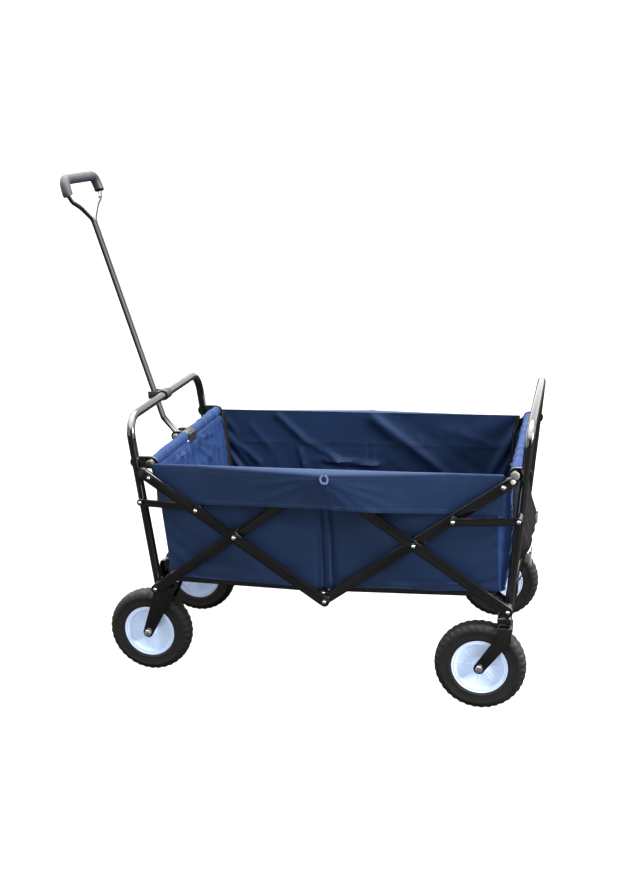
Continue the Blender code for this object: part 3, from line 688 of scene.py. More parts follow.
PLUG_AT = up_slope(MID_R, 1, UPPER + 0.0215)
for rear, x in RAIL_X.items():
    for side, tag in SIDES:
        out = (0, side, 0)
        if rear:
            spot = P(PLUG_AT[0], side * 0.2338, PLUG_AT[1])
            cap(f"strut_plug_{tag}", "strut_d", spot, out, 0.0042, 0.002, PALE_CAP, 0.0004)
        mat = CAP if rear or side > 0 else BLACK_PLASTIC
        spot = P(x, side * 0.2236, RAIL_Z)
        cap(f"rail_cap_{END[rear]}_{tag}", END[rear] + "_frame", spot, out, 0.008, 0.004, mat, 0.0006)
for kind, middle, way, layer in (("a", MID_F, -1, (0.2385, 0.248)), ("d", MID_R, 1, (0.224, 0.2335))):
    for side in TAG:
        strut_cap(kind, middle, way, layer, side)


# ---------------- wheels
def smooth_step(x, a, b):
    t = np.clip((x - a) / (b - a), 0, 1)
    return t * t * (3 - 2 * t)


def tyre(name, x, y, body, turn):
    """A tyre with a block tread and sidewall rings. Its section runs from the bead to the crown."""
    profile = [
        (0.054, -0.014), (0.0552, -0.0156), (0.058, -0.017), (0.06, -0.0178), (0.0615, -0.0172),
        (0.064, -0.0174), (0.07, -0.018), (0.074, -0.0181), (0.0752, -0.0186), (0.0764, -0.0182),
        (0.079, -0.0179), (0.0812, -0.0171), (0.0835, -0.016), (0.0855, -0.0146), (0.087, -0.0128),
        (0.088, -0.0105), (0.0886, -0.0078), (0.0889, -0.005), (0.089, -0.0025), (0.089, 0.0),
    ]
    profile += [(r, -w) for r, w in reversed(profile[:-1])]
    blocks, per_block = 38, 10
    count = blocks * per_block
    section = np.array(profile)
    theta = np.arange(count) * 2 * pi / count
    r = np.repeat(section[None, :, 0], count, 0)
    w = np.repeat(section[None, :, 1], count, 0)
    phase = (theta[:, None] * blocks / (2 * pi) + np.where(w > 0, 0.5, 0.0)) % 1.0
    lug = smooth_step(phase, 0.08, 0.17) * (1 - smooth_step(phase, 0.62, 0.71))
    mid_phase = (theta[:, None] * blocks / (2 * pi) + 0.3) % 1.0
    mid = smooth_step(mid_phase, 0.05, 0.14) * (1 - smooth_step(mid_phase, 0.7, 0.79))
    aw = np.abs(w)
    outer = smooth_step(aw, 0.0062, 0.0072)
    ring = 1 - smooth_step(aw, 0.004, 0.005)
    block = np.clip(lug * outer + mid * ring, 0, 1)
    tread = smooth_step(r, 0.0795, 0.085)
    sink = (1 - block) * tread * 0.0011
    shrink = (1 - block) * smooth_step(r, 0.077, 0.082) * (1 - tread) * 0.0007
    r = r - sink
    w = w - np.sign(w) * (shrink + 0.4 * sink * smooth_step(aw, 0.01, 0.016))
    c, s = np.cos(theta + turn)[:, None], np.sin(theta + turn)[:, None]
    verts = np.stack([x + SX + r * c, y + w, WHEEL_R + r * s], -1).reshape(-1, 3)
    idx = np.arange(count * len(profile)).reshape(count, len(profile))
    nxt = np.roll(idx, -1, 0)
    faces = np.stack([idx, np.roll(idx, -1, 1), np.roll(nxt, -1, 1), nxt], -1).reshape(-1, 4)
    obj = from_lists(verts, faces, "v_" + name + "_tyre", RUBBER, 45.0)
    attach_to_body(stands_for(obj, name + "_tyre"), body)


def rim(name, x, y, body, turn):
    """A dished disc with four shallow facets and ribs between them. Its section runs out from the hub."""
    half = [
        (0.0044, 0.0198), (0.0105, 0.0198), (0.0116, 0.0188), (0.0124, 0.012), (0.014, 0.0094),
        (0.018, 0.0088), (0.026, 0.0084), (0.034, 0.008), (0.042, 0.0076), (0.0446, 0.0078),
        (0.0456, 0.0092), (0.0462, 0.0132), (0.0474, 0.015), (0.0494, 0.0154), (0.0508, 0.0146),
        (0.052, 0.015), (0.0534, 0.0166), (0.0545, 0.016), (0.0546, 0.014),
    ]
    loop = half + [(r, -a) for r, a in reversed(half)]
    rings, many, facets, rib_width = [], 160, 4, 0.055
    bm = bmesh.new()
    for k in range(many):
        t = 2 * pi * k / many
        wave = abs(((t * facets / (2 * pi)) % 1.0) * 2 - 1)
        rib = 0.0022 * exp(-((1 - wave) / rib_width) ** 2) + 0.0016 * exp(-(wave / rib_width) ** 2)
        ring = []
        for r, a in loop:
            if 0.015 < r < 0.044:
                swell = sin(pi * min(1, (r - 0.01) / 0.034))
                a -= copysign(swell * (0.0036 * (1 - wave) - rib), a)
            ring.append(bm.verts.new(P(x + r * cos(t + turn), y + a, WHEEL_R + r * sin(t + turn))))
        rings.append(ring)
    for k in range(many):
        band(bm, rings[k], rings[(k + 1) % many])
    obj = from_bm(bm, "v_" + name + "_rim", RIM, 18.0)
    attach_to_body(stands_for(obj, name + "_rim"), body)


for side, tag in SIDES:
    for name, x, y, turn in (("front_wheel_", -0.046, 0.156, 0.0), ("rear_wheel_", 0.6536, 0.22, 0.72)):
        tyre(name + tag, x, side * y, name + tag, turn)
        rim(name + tag, x, side * y, name + tag, turn)


# ---------------- side walls
WALL_Y = 0.221
WALL_TOP = 0.4731
MIDDLE = 60                # column of each side's cloth at the middle of the wagon
WALL_CREASES = [           # line of each crease (x, z, x, z), share of the full depth, width
    ((0.372, 0.466, 0.615, 0.27), 1.0, 0.0085),
    ((0.43, 0.468, 0.625, 0.33), -0.35, 0.01),
    ((0.146, 0.4655, 0.208, 0.407), 0.85, 0.0045),
    ((0.046, 0.396, 0.102, 0.346), 0.75, 0.0045),
    ((0.193, 0.395, 0.207, 0.34), 0.55, 0.004),
    ((0.2, 0.4096, 0.292, 0.36), 0.5, 0.005),
    ((0.244, 0.3605, 0.384, 0.3505), 0.9, 0.005),
    ((0.244, 0.349, 0.37, 0.34), -0.5, 0.005),
    ((0.364, 0.4654, 0.424, 0.4084), 0.65, 0.011),
    ((0.268, 0.3708, 0.302, 0.35), 0.55, 0.0036),
    ((0.08, 0.44, 0.13, 0.38), 0.35, 0.007),
    ((0.53, 0.44, 0.65, 0.4), 0.3, 0.008),
]
WALL_PLEATS = ((-0.0045, 0.8), (0.0055, -0.3), (0.014, 1.0), (-0.015, 0.4))     # from the middle, share


def edge_x(z, rear):
    """Where a wall meets the end panel at height z."""
    t = (RAIL_Z - z) / 0.236
    if not rear:
        return 0.014 + t * 0.0195
    turn = min(1.0, max(0.0, t / 0.25))
    return 0.6985 - 0.0135 * turn * turn * (3 - 2 * turn) + t * 0.0025


def column_x(u, z):
    if u <= 0.5:
        x0 = edge_x(z, False)
        return x0 + (BAY - x0) * 2 * u
    return BAY + (edge_x(z, True) - BAY) * (2 * u - 1)


def low_edge(u):
    """Height of a wall's bottom edge; u runs from the front corner to the rear one."""
    z = 0.2385 - 0.0098 * 2 * u if u <= 0.5 else 0.2287 + 0.0145 * (2 * u - 1) ** 1.3
    return z + 0.0046 * exp(-((u - 0.66) / 0.11) ** 4)


def side_gusset(side, rear):
    """Basket cloth that runs from a wall's bottom edge over the floor rail to the mat."""
    section = (0.2202, 0.2196, 0.2176, 0.2152, 0.2095, 0.203, 0.1985, 0.1945)
    x0, x1 = (BAY + 0.0002, 0.6865) if rear else (0.0375, BAY - 0.0002)

    def place(u, v):
        x = x0 + (x1 - x0) * u
        over = 0.2378 - 0.0065 * (1 - min(1.0, abs(x - BAY) / (BAY - FLOOR_X)))
        outer = max(low_edge((x - 0.03) / 0.668) + 0.002, over)
        heights = (outer + 0.0045, outer + 0.001, (outer + over) / 2, over, over,
                   over - 0.0003, over - 0.0018, min(0.232, over - 0.0042))
        k = v * (len(section) - 1)
        y, z = (float(np.interp(k, range(len(section)), values)) for values in (section, heights))
        wave = 0.0005 * sin(x * 75 + side) * sin(pi * v) ** 2
        return x, side * y, z + abs(wave)

    end, tag = END[rear], TAG[side]
    obj = Sheet(grid(70, 22, place)).mesh(f"floor_gusset_{end}_{tag}", SIDE_CLOTH, 0.0008)
    attach(obj, "bag_" + end)


def wall_folds(px, pz, inside, seed):
    """How far a wall is pushed in by its creases, sewn rows and middle pleats."""
    depth = 0.0095 if inside else 0.0012
    push = np.zeros_like(px)
    for (xa, za, xb, zb), share, width in WALL_CREASES:
        push += depth * share * ridge(px, pz, (xa, za), (xb, zb), width)
    rng = np.random.default_rng(seed)
    for _ in range(18):
        cx, cz = rng.uniform(0.06, 0.62), rng.uniform(0.3, 0.455)
        way, span = rng.uniform(0.3, 2.5), rng.uniform(0.012, 0.034)
        dx, dz = span * cos(way), span * sin(way)
        size = depth * rng.uniform(-0.22, 0.34)
        push += size * ridge(px, pz, (cx - dx, cz - dz), (cx + dx, cz + dz), rng.uniform(0.003, 0.006))
    if inside:
        for z in (0.405, 0.3962):
            above, below = ((pz - z - off) / 0.0022 for off in (0.0016, -0.0016))
            push += 0.0012 * (np.exp(-above ** 2) - np.exp(-below ** 2))
    pleat = sum(d * np.exp(-((px - BAY - a) / 0.0036) ** 2) for a, d in WALL_PLEATS)
    return push + (0.0016 if inside else 0.0072) * pleat * np.clip((RAIL_Z - 0.03 - pz) / 0.06, 0, 1)


def wall(side, seed):
    nu, nv = 2 * MIDDLE + 1, 42
    tag = TAG[side]
    inside = side > 0      # the far wall shows its inner face, which creases more

    def place(u, v):
        z = WALL_TOP + (low_edge(u) - WALL_TOP) * v
        return column_x(u, z), side * WALL_Y, z

    g = grid(nu, nv, place)
    fixed = np.zeros((nv, nu), bool)
    fixed[0, :] = fixed[:, 0] = fixed[:, -1] = fixed[-1, :] = True
    du = (0.665 * 1.022 if inside else 0.654) / (nu - 1)
    dv = 0.24 / (nv - 1) * (1.006 if inside else 1.001)
    limits = sorted((side * 0.2225, side * (0.204 if inside else 0.215)))
    g = drape(g, fixed, du, dv, limits, 240, 0.045 if inside else 0.1, seed)
    if not inside:
        g[..., 1] = side * (WALL_Y + 0.4 * (np.abs(g[..., 1]) - WALL_Y))
    px, pz = g[..., 0], g[..., 2]
    pushed = np.abs(g[..., 1]) - wall_folds(px, pz, inside, seed)
    g[..., 1] = side * np.clip(pushed, 0.2035 if inside else 0.2135, 0.2226)
    band_z, band_half = 0.4005, 0.0042
    extra = 0.0005 * (np.abs(pz - band_z) < band_half)
    extra[-3:, :] = 0.0004
    whole = Sheet(g)
    into = 1 if np.sign(whole.n[20, 30, 1]) == -side else -1
    row = 1 - (band_z - 0.233) / 0.2401
    for end, a, b in (("front", 0, MIDDLE), ("rear", MIDDLE, 2 * MIDDLE)):
        name, body = f"wall_{end}_{tag}", "bag_" + end
        obj = part(whole, a, b).mesh("v_" + name, SIDE_CLOTH, 0.0009, extra[:, a:b + 1])
        attach(stands_for(obj, name), body)
        u0, u1 = a / (nu - 1), b / (nu - 1)
        made = [stitches(f"{name}_seam_{k}", whole, u0, u1, v, body, into * 0.0011)
                for k, v in enumerate((row - 0.014, row + 0.014))]
        made.append(stitches(f"{name}_hem", whole, u0, u1, 0.968, body, -into * 0.001))
        side_gusset(side, end == "rear")


# ---------------- flaps over the top edge, draped on the struts
def flap_room(px, pz):
    """How near the middle and how far out the flap can lie at each point, between the struts."""
    low = np.full_like(px, 0.2226)
    high = np.full_like(px, 0.26)

    def bar(a, b, half):
        dx, dz = b[0] - a[0], b[1] - a[1]
        t = np.clip(((px - a[0]) * dx + (pz - a[1]) * dz) / (dx * dx + dz * dz), 0, 1)
        return np.hypot(px - a[0] - t * dx, pz - a[1] - t * dz) < half

    low[bar(TOP_PIN, (0.0, PIVOT_Z), 0.0108)] = 0.2346
    low[bar(TOP_PIN, (LENGTH, PIVOT_Z), 0.0108)] = 0.2492
    low[np.hypot(px - TOP_PIN[0], pz - TOP_PIN[1]) < 0.009] = 0.2517
    high[bar(up_slope(MID_F, -1, STRUT_END), LOW_PIN, 0.0118)] = 0.2374
    high[bar(LOW_PIN, up_slope(MID_R, 1, STRUT_END), 0.0118)] = 0.2229
    high[px < 0.06] = 0.2236
    high[px > 0.65] = 0.2229
    return low, high


def flap_folds(px, pz, seed):
    """Outward folds: rays from the middle pin, waves at the hem and lines beside the hidden struts."""
    rng = np.random.default_rng(seed)
    angle = np.arctan2(0.466 - pz, np.abs(px - BAY) + 1e-6)
    dist = np.hypot(px - BAY, pz - 0.466)
    reach = smooth_step(dist, 0.008, 0.03) * (1 - smooth_step(dist, 0.09, 0.19))
    rays = np.zeros_like(px)
    beside = np.zeros_like(px)
    for way in (-1, 1):
        here = (px - BAY) * way > 0
        for ray in (0.22, 0.42, 0.86, 1.15):
            ray += rng.uniform(-0.05, 0.05)
            rays += here * rng.uniform(0.5, 1.0) * np.exp(-((angle - ray) / 0.06) ** 2) * reach
        for off in (-0.007, 0.0085):
            x, z = BAY + way * 0.014, TOP_PIN[1] + off - 0.008
            beside += ridge(px, pz, (x, z), (x + way * 0.11, z - 0.077), 0.0028)
    waves = np.sin(px * 61 + seed) * 0.4 + np.sin(px * 27 + 2.1 * seed) * 0.6
    return 0.0013 * beside + 0.0026 * rays + 0.0008 * waves * smooth_step(RAIL_Z - pz, 0.02, 0.08)


HEM_Z = 0.3945


def flap(side, seed):
    nv, nu = 34, 2 * MIDDLE + 1
    xs = np.concatenate([np.linspace(0.015, BAY, MIDDLE + 1), np.linspace(BAY, 0.6975, MIDDLE + 1)[1:]])
    down = np.linspace(0.0, 1.0, nv)[:, None]
    hem = HEM_Z + 0.0075 * np.exp(-((xs - BAY) / 0.17) ** 2)
    pz = 0.469 + (hem - 0.469) * down
    px = xs - 0.009 * np.exp(-((xs - 0.015) / 0.03) ** 2) * np.clip(1 - down / 0.45, 0, 1)
    low, high = flap_room(px, pz)
    y = np.clip(low + 0.003, low, high)
    lead_x = [0.015, 0.1, BAY - 0.03, BAY, BAY + 0.04, 0.6, 0.7]
    lead = np.interp(xs, lead_x, [0.223, 0.2236, 0.247, 0.2506, 0.247, 0.2236, 0.2228])
    lead = np.clip(lead, low[0], high[0])
    for _ in range(1500):
        pad = np.pad(y, 1, mode="edge")
        pad[0, 1:-1] = lead
        y = np.clip(neighbours(pad), low, high)
    y = np.clip(y + flap_folds(px, pz, seed), low, np.maximum(high, low))
    for _ in range(2):
        y[1:-1, 1:-1] = 0.5 * y[1:-1, 1:-1] + 0.5 * neighbours(y)
    over_rail = ((0.0, 0.4731), (0.14, 0.4738), (0.42, 0.4737), (0.74, 0.473), (0.94, 0.4712))
    rows = [np.stack([px[0], 0.2196 + (y[0] - 0.2196) * t, np.full(nu, z)], -1) for t, z in over_rail]
    g = np.concatenate([np.array(rows), np.stack([px, y, pz], -1)])
    g[..., 1] *= side
    extra = np.zeros(g.shape[:2])
    extra[-4:, :] = 0.0005
    whole = Sheet(g)
    out = 1 if np.sign(whole.n[20, 30, 1]) == side else -1
    for end, a, b in (("front", 0, MIDDLE), ("rear", MIDDLE, 2 * MIDDLE)):
        name, body = f"flap_{end}_{TAG[side]}", "bag_" + end
        obj = part(whole, a, b).mesh("v_" + name, SIDE_CLOTH, 0.0009, extra[:, a:b + 1])
        attach(stands_for(obj, name), body)
        made = [stitches(f"{name}_line_{k}", whole, a / (nu - 1), b / (nu - 1), v, body, out * 0.0009)
                for k, v in enumerate((0.922, 0.215))]


for k, side in enumerate(TAG):
    wall(side, 11 + 7 * k)
    flap(side, 3 + 2 * k)


# ---------------- small webbing loop at the middle of the flap
def webbing_loop(side, tag):
    x, z, face = BAY + 0.0098, 0.4636, side * 0.2532
    bm = bmesh.new()
    pts = []
    for k in range(17):
        t = pi * (1.5 + 2 * (k / 16 - 0.5) * 0.93)
        proud = side * 0.0012 * (1 - abs(k / 8 - 1))
        pts.append(P(x + 0.0072 * cos(t), face + proud, z + 0.008 * sin(t)))
    tube(bm, pts, 0.0019, 8, 0.45, Vector((0, 1, 0)))
    y0, y1 = sorted((side * 0.2526, side * 0.2544))
    rounded_box(bm, P(x - 0.0068, y0, 0.4545), P(x + 0.0068, y1, 0.458), 0.0007)
    mat = cloth("webbing_" + tag, (0.13, 0.19, 0.34), (0, 2), 0.0012, 0.3, 0.6, 0.8)
    attach(from_bm(bm, "loop_" + tag, mat), "bag_rear")


for side, tag in SIDES:
    webbing_loop(side, tag)


# ---------------- end panels, their sleeves and the corner tapes
PANEL_HALF = 0.2176
PANEL_TOP, PANEL_DROP = 0.46, 0.22
FOOT_X = {False: 0.0345, True: 0.6995}     # bottom edge of each end panel
INWARD = {False: 1, True: -1}
ROWS = (0.064, 0.112, 0.244, 0.292)        # sewn rows, as shares of the drop
WRAP_Y = 0.202                            # from here out, the rear panel turns forward to the walls


def panel_lift(yy, zz, seed):
    """Folds of an end panel: rays from its middle, a gathered top, level bands and the sewn rows' grooves."""
    fade = smooth_step(np.abs(yy), 0.0, 0.19)
    rays = np.zeros_like(yy)
    angle = np.arctan2(0.462 - zz, np.abs(yy) + 1e-6)
    for ray, amp in ((0.16, 1.0), (0.36, 0.8), (0.62, 1.0), (0.95, 0.7)):
        rays += amp * np.exp(-((angle - ray) / 0.055) ** 2)
    dist = np.hypot(yy, 0.462 - zz)
    reach = smooth_step(dist, 0.012, 0.045) * (1 - smooth_step(dist, 0.1, 0.21))
    gather = np.sin(yy * 155 + 1.2 * np.sin(yy * 31 + seed)) * smooth_step(zz, 0.33, 0.44)
    bands = np.sin((zz - 0.24) * 92 + 0.9 * np.sin(yy * 19 + seed)) * (1 - 0.6 * fade)
    lift = 0.005 * rays * reach + 0.0024 * gather + 0.003 * bands
    lift *= smooth_step(0.461 - zz, 0.0, 0.012) * smooth_step(zz, 0.24, 0.255)
    lift *= smooth_step(PANEL_HALF - np.abs(yy), 0.0, 0.02)
    for v in ROWS:
        lift -= 0.0019 * np.exp(-((PANEL_TOP - PANEL_DROP * v - zz) / 0.0019) ** 2)
    return lift


def panel_cloth(rear, seed):
    """An end panel's surface, and the extra thickness of its sewn bands and hem."""
    nu, nv = 88, 48
    inward, foot = INWARD[rear], FOOT_X[rear]
    top = RAIL_X[rear] + inward * 0.0104

    def place(u, v):
        y = -PANEL_HALF + 2 * PANEL_HALF * u
        tuck = 0.0 if rear else exp(-(y / 0.029) ** 4)
        edge = 0.0075 * min(1.0, max(0.0, (abs(y) - 0.155) / 0.045)) + 0.0015
        belly = edge * sin(pi * v) if rear else 0.0
        z = PANEL_TOP + 0.01 * tuck * (1 - v) ** 3 - PANEL_DROP * v
        x = top + (foot - top) * v + 0.0034 * tuck * (1 - v) ** 6 + belly
        if rear:
            wrap = min(1.0, max(0.0, (abs(y) - WRAP_Y) / 0.0156)) * smooth_step(v, 0.02, 0.12)
            x += (edge_x(z, True) + 0.0008 - x) * wrap
        return x, y, z

    g = grid(nu, nv, place)
    fixed = np.zeros((nv, nu), bool)
    fixed[0, :] = fixed[:, 0] = fixed[:, -1] = fixed[-1, ::5] = True
    flat = g[..., 0].copy()
    du = 2 * PANEL_HALF / (nu - 1) * 1.012
    dv = hypot(PANEL_DROP, foot - top) / (nv - 1) * 1.006
    g[..., 0] -= flat
    g = drape(g, fixed, du, dv, sorted((inward * 0.01, -inward * 0.0012)), 220, 0.06, seed, 0)
    g[..., 0] = flat + g[..., 0] + inward * panel_lift(g[..., 1], g[..., 2], seed)
    extra = np.zeros((nv, nu))
    for z in (0.44, 0.401):
        extra += 0.0004 * (np.abs(g[..., 2] - z) < 0.0055)
    extra[-2:, :] = 0.0005
    return Sheet(g), extra


def sleeve_cloth(rear, side, seed):
    """Half of the sleeve that goes round a top rail; the front one leaves room for the handle bracket."""
    rail, inward = RAIL_X[rear], INWARD[rear]
    turns = [radians(-58 + 262 * k / 14) for k in range(15)]
    arc = [(rail + inward * 0.0098 * cos(t), RAIL_Z + 0.0098 * sin(t)) for t in turns]
    lower = [(rail + inward * x, z) for x, z in ((0.0118, 0.45), (0.0116, 0.456), (0.0108, 0.462))]
    back = [(rail + inward * x, z) for x, z in ((-0.004, 0.464), (0.005, 0.46), (0.0094, 0.456))]
    line = lower + arc + back
    start, stop, across = 0.0 if rear else 0.0215, 0.205, 60
    rng = np.random.default_rng(seed + 5 + side)
    bumps = [(rng.uniform(40, 190), rng.uniform(0, 6), rng.uniform(0.0002, 0.0005)) for _ in range(5)]
    g = np.zeros((len(line), across, 3))
    for j, (x, z) in enumerate(line):
        dx, dz = x - rail, z - RAIL_Z
        d = hypot(dx, dz)
        for i in range(across):
            y = start + (stop - start) * i / (across - 1)
            puff = sum(a * sin(f * y + p) for f, p, a in bumps) + 0.0004
            k = max(puff, -0.0004) if 3 <= j < 18 else 0.2 * puff
            g[j, i] = (x + dx / d * k, side * y, z + dz / d * k)
    return Sheet(g)


def corner_tape(rear, side):
    """Binding along the seam between an end panel and a wall."""
    inward = INWARD[rear]
    path = [P(edge_x(z, rear) + inward * 0.003, side * 0.2168, z) for z in np.linspace(0.469, 0.244, 24)]
    inner = [p + Vector((-inward * 0.001, -side * 0.0042, 0)) for p in path]
    bm = bmesh.new()
    tube(bm, path, 0.0052, 10, 0.22, Vector((0, 1, 0)))
    tube(bm, inner, 0.003, 10, 0.35, Vector((1, 0, 0)))
    # The near rear tape takes the end cloth, whose colour holds painted light.
    tape = from_bm(bm, f"{END[rear]}_corner_tape_{TAG[side]}", END_CLOTH if rear and side < 0 else TAPE)
    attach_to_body(tape, END[rear] + "_frame")


def end_gusset(rear):
    """Basket cloth from an end panel's foot, down and in to the mat."""
    end, inward, foot = END[rear], INWARD[rear], FOOT_X[rear]
    section = ((0.0, 0.2432), (0.0006, 0.2412), (0.002, 0.24), (0.012, 0.2372), (0.0236, 0.2316))
    reach, half = 2.1 if rear else 1.0, 0.2165

    def place(u, v):
        k = v * (len(section) - 1)
        dx, z = (float(np.interp(k, range(len(section)), values)) for values in zip(*section))
        y = -half + 2 * half * u
        corner = min(1.0, max(0.0, (abs(y) - WRAP_Y) / 0.0148))
        shift = 0.001 + abs(edge_x(0.24, rear) - foot) * corner
        shrink = 1 - 0.72 * smooth_step(abs(y), 0.1985, 0.203)
        x = foot + inward * (shift + dx * reach * shrink)
        return x, y, z + 0.0004 * sin(y * 60) * sin(pi * v)

    obj = Sheet(grid(110, 14, place)).mesh(end + "_floor_gusset", END_CLOTH, 0.0008)
    attach(obj, end + "_frame")


def end_panel(rear, seed):
    end, inward = END[rear], INWARD[rear]
    body = end + "_frame"
    sheet, extra = panel_cloth(rear, seed)
    obj = sheet.mesh("v_" + end + "_panel", END_CLOTH, 0.0009, extra)
    attach(stands_for(obj, end + "_panel"), body)
    out = 1 if np.sign(sheet.n[20, 30, 0]) == inward else -1
    for k, v in enumerate(ROWS):
        for way in (1, -1):
            name = f"{end}_panel_row_{k}_{'in' if way == out else 'out'}"
            stitches(name, sheet, 0.01, 0.99, v, body, way * 0.001)
    stitches(f"{end}_panel_hem", sheet, 0.01, 0.99, 0.965, body, out * 0.001)
    for side, tag in SIDES:
        sleeve = sleeve_cloth(rear, side, seed)
        attach(sleeve.mesh(f"{end}_sleeve_{tag}", END_CLOTH, 0.0008), body)
        face = 1 if np.sign(sleeve.n[1, 20, 0]) == inward else -1
        stitches(f"{end}_sleeve_line_{tag}", sleeve, 0.01, 0.99, 0.05, body, face * 0.0009)
        corner_tape(rear, side)
    end_gusset(rear)


end_panel(False, 21)
end_panel(True, 34)


# ---------------- floor mats: padded boards with sewn channels
MAT_WIDE = 0.391


def mat_shape(u, v, length):
    """How full the mat is at a point, 0 at its rim, and how deep its sewn channels are there, up to 1."""
    edge = min(min(u, 1 - u) * length, min(v, 1 - v) * MAT_WIDE)
    rim_share = min(1.0, edge / 0.012)
    lengthwise = abs((u * 3) % 1 - 0.5) if 0.1 < u < 0.9 else 1
    crosswise = abs((v * 3) % 1 - 0.5) if 0.08 < v < 0.92 else 1
    full = sqrt(max(0.0, 1 - (1 - rim_share) ** 2))
    return full, exp(-(min(lengthwise, crosswise) / 0.035) ** 2)


def floor_mat(rear):
    nu, nv = 46, 62
    end, turn = END[rear], -1 if rear else 1
    pivot = LENGTH - FLOOR_X if rear else FLOOR_X
    x0, x1 = pivot + turn * 0.0125, BAY - turn * 0.0006
    bm = bmesh.new()
    tops, lows = [], []
    for j in range(nv):
        tops.append([])
        lows.append([])
        for i in range(nu):
            u, v = i / (nu - 1), j / (nv - 1)
            full, dip = mat_shape(u, v, abs(x1 - x0))
            x, y = x0 + (x1 - x0) * u, -MAT_WIDE / 2 + MAT_WIDE * v
            mid = 0.2315 - 0.0028 * u
            wob = 0.0004 * sin(x * 90 + 3 * sin(y * 17)) + 0.0003 * sin(y * 71)
            top = mid + full * (0.2349 - mid + wob) - dip * 0.0012 * full
            tops[j].append(bm.verts.new(P(x, y, top)))
            lows[j].append(bm.verts.new(P(x, y, mid - full * (mid - (0.2294 - 0.006 * u)))))
    for j in range(nv - 1):
        for i in range(nu - 1):
            bm.faces.new((tops[j][i], tops[j][i + 1], tops[j + 1][i + 1], tops[j + 1][i]))
            bm.faces.new((lows[j][i], lows[j + 1][i], lows[j + 1][i + 1], lows[j][i + 1]))
    bmesh.ops.remove_doubles(bm, verts=bm.verts[:], dist=0.00005)
    obj = from_bm(bm, "v_floor_mat_" + end, FLOOR_CLOTH, 60.0)
    attach(stands_for(obj, "floor_mat_" + end), "floor_" + end)


floor_mat(False)
floor_mat(True)


# ---------------- rear net pouch with its straps and buckles
def pouch_cloth():
    """The pouch's net, bulged out from the panel behind it. Its middle line runs from the mouth down."""
    line = [(0.714, 0.424), (0.719, 0.398), (0.724, 0.364), (0.731, 0.328), (0.743, 0.2985),
            (0.7385, 0.286), (0.732, 0.273), (0.723, 0.264), (0.71, 0.2608)]
    nu, nv, half = 64, 34, 0.149
    steps = np.linspace(0, len(line) - 1, nv)
    px, pz = (np.interp(steps, range(len(line)), values) for values in zip(*line))
    g = np.zeros((nv, nu, 3))
    for j in range(nv):
        down = j / (nv - 1)
        panel_x = 0.7085 - (0.459 - pz[j]) * 0.0411 + 0.004
        for i in range(nu):
            u = i / (nu - 1) * 2 - 1
            bulge = (1 - abs(u) ** 6) ** 0.6
            crease = 0.0022 * sin(u * 17 + 0.22 * j) * sin(pi * down)
            crease += 0.0014 * sin(u * 7.0 - 0.3 * j)
            sag = -0.01 * (1 - u * u) * (1 - down) ** 2
            g[j, i] = (panel_x + (px[j] - panel_x + crease) * bulge, half * u, pz[j] + sag)
    return Sheet(g)


def pouch_strap(side, tag):
    """A strap that closes the pouch's foot, and its ladder buckle."""
    y = side * 0.122
    spine = ((0.744, 0.2965), (0.7445, 0.288), (0.742, 0.276),
             (0.735, 0.254), (0.7235, 0.232), (0.7125, 0.218))
    bm = bmesh.new()
    tube(bm, [P(x, y, z) for x, z in spine], 0.0085, 10, 0.1, Vector((1, 0, 0)))
    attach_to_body(from_bm(bm, "pouch_strap_" + tag, TAPE), "rear_frame")
    bm = bmesh.new()
    for z, half, r in ((0.264, 0.0125, 0.0014), (0.28, 0.0125, 0.0014), (0.2728, 0.01, 0.0009)):
        rounded_box(bm, P(0.7385, y - half, z), P(0.7445, y + half, z + 0.004), r)
    for way in (-1, 1):
        bar = y + way * 0.0105
        rounded_box(bm, P(0.739, bar - 0.002, 0.2655), P(0.744, bar + 0.002, 0.2825), 0.0009)
    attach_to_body(from_bm(bm, "pouch_buckle_" + tag, CAP), "rear_frame")


pouch = pouch_cloth()
thicker = np.zeros(pouch.g.shape[:2])
thicker[:3, :] = 0.0009
net = pouch.mesh("v_rear_pouch", NET, 0.0008, thicker)
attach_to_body(stands_for(net, "rear_pouch"), "rear_frame")
out = 1 if pouch.n[10, 30, 0] > 0 else -1
sewn = [stitches("pouch_top_line", pouch, 0.01, 0.99, 0.045, "rear_frame", out * 0.0014)]
for side, tag in SIDES:
    pouch_strap(side, tag)


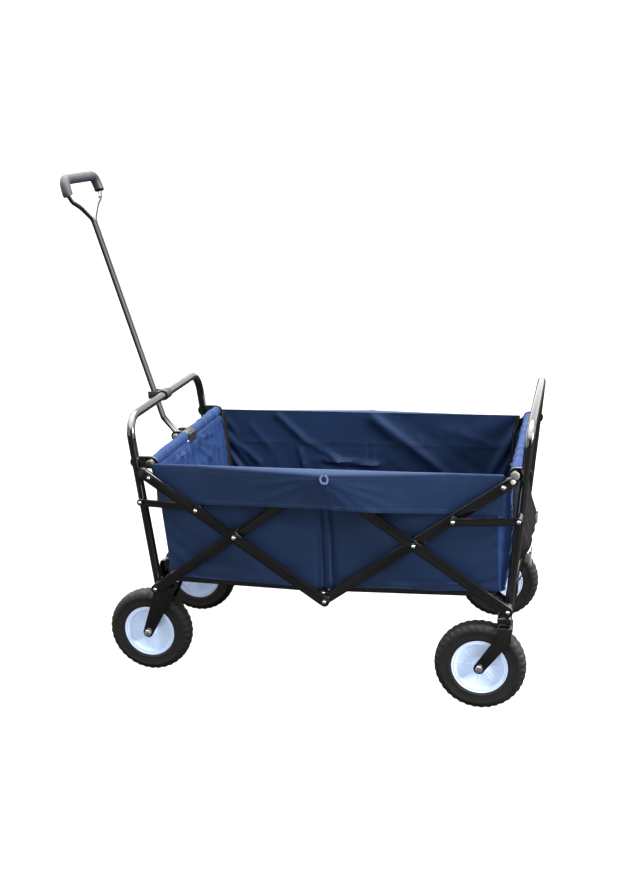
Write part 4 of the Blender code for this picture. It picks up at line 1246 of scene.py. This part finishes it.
# ---------------- floor and light
FLOOR_GREY, MIRRORED_GREY = 0.42, 0.04     # as the floor lights the wagon, and as the steel mirrors it
bm = bmesh.new()
bmesh.ops.create_grid(bm, x_segments=2, y_segments=2, size=40.0)
floor_mat = moulded("pale_floor", (FLOOR_GREY,) * 3, 0.9, 0.0001, 0.01, 0.1)
floor = from_bm(bm, "floor", floor_mat)
n = Nodes(floor_mat.node_tree)
floor_bsdf = floor_mat.node_tree.nodes["Principled BSDF"]
n.feed(floor_bsdf, "Emission Color", (1, 1, 1, 1))
n.feed(floor_bsdf, "Emission Strength", n.add("LightPath").outputs["Is Camera Ray"])
mirrored = n.add("LightPath").outputs["Is Glossy Ray"]
greys = [rgb((grey,) * 3) for grey in (FLOOR_GREY, MIRRORED_GREY)]
n.feed(floor_bsdf, "Base Color", n.mix(mirrored, *greys))
floor.location = (0, 0, -0.0006)

SEEN_SKY, SOFT_SKY = 1.05, 0.6            # what the camera sees, and what lights the cloth
world = bpy.data.worlds.new("world")
world.use_nodes = True
bpy.context.scene.world = world
n = Nodes(world.node_tree)
direction = n.add("SeparateXYZ", Vector=n.add("TexCoord").outputs["Generated"])
side_on = n.remap(n.math("ABSOLUTE", direction.outputs[0]), 0.66, 0.8, 0.0, 2.6)
overhead = n.remap(direction.outputs[2], 0.5, 0.76, 0.02, 10.0)
sky = n.plus(overhead, n.plus(side_on, n.remap(direction.outputs[1], 0.15, 0.75, 0.0, 1.6)))
path = n.add("LightPath")
seen = path.outputs["Is Camera Ray"]
glossy = path.outputs["Is Glossy Ray"]
soft = n.mul(n.math("SUBTRACT", 1.0, glossy), SOFT_SKY)
unseen = n.mul(n.math("SUBTRACT", 1.0, seen), n.plus(soft, n.mul(glossy, sky)))
level = n.plus(n.mul(seen, SEEN_SKY), unseen)
back = world.node_tree.nodes["Background"]
n.feed(back, "Color", (1, 1, 1, 1))
n.feed(back, "Strength", level)


def lamp(name, at, to, size, watts):
    data = bpy.data.lights.new(name, "AREA")
    data.energy = watts
    data.size = size
    obj = bpy.data.objects.new(name, data)
    COLLECTION.objects.link(obj)
    at, to = Vector(at), Vector(to)
    obj.location = at
    obj.rotation_mode = "QUATERNION"
    obj.rotation_quaternion = (to - at).to_track_quat("-Z", "Y")


lamp("key", (3.0, -0.9, 1.7), (0, 0, 0.35), 1.0, 210)
lamp("top", (0.4, 0.3, 3.2), (0, 0, 0.3), 2.4, 60)
lamp("fill", (-1.2, -3.4, 1.6), (0, 0, 0.3), 1.6, 24)
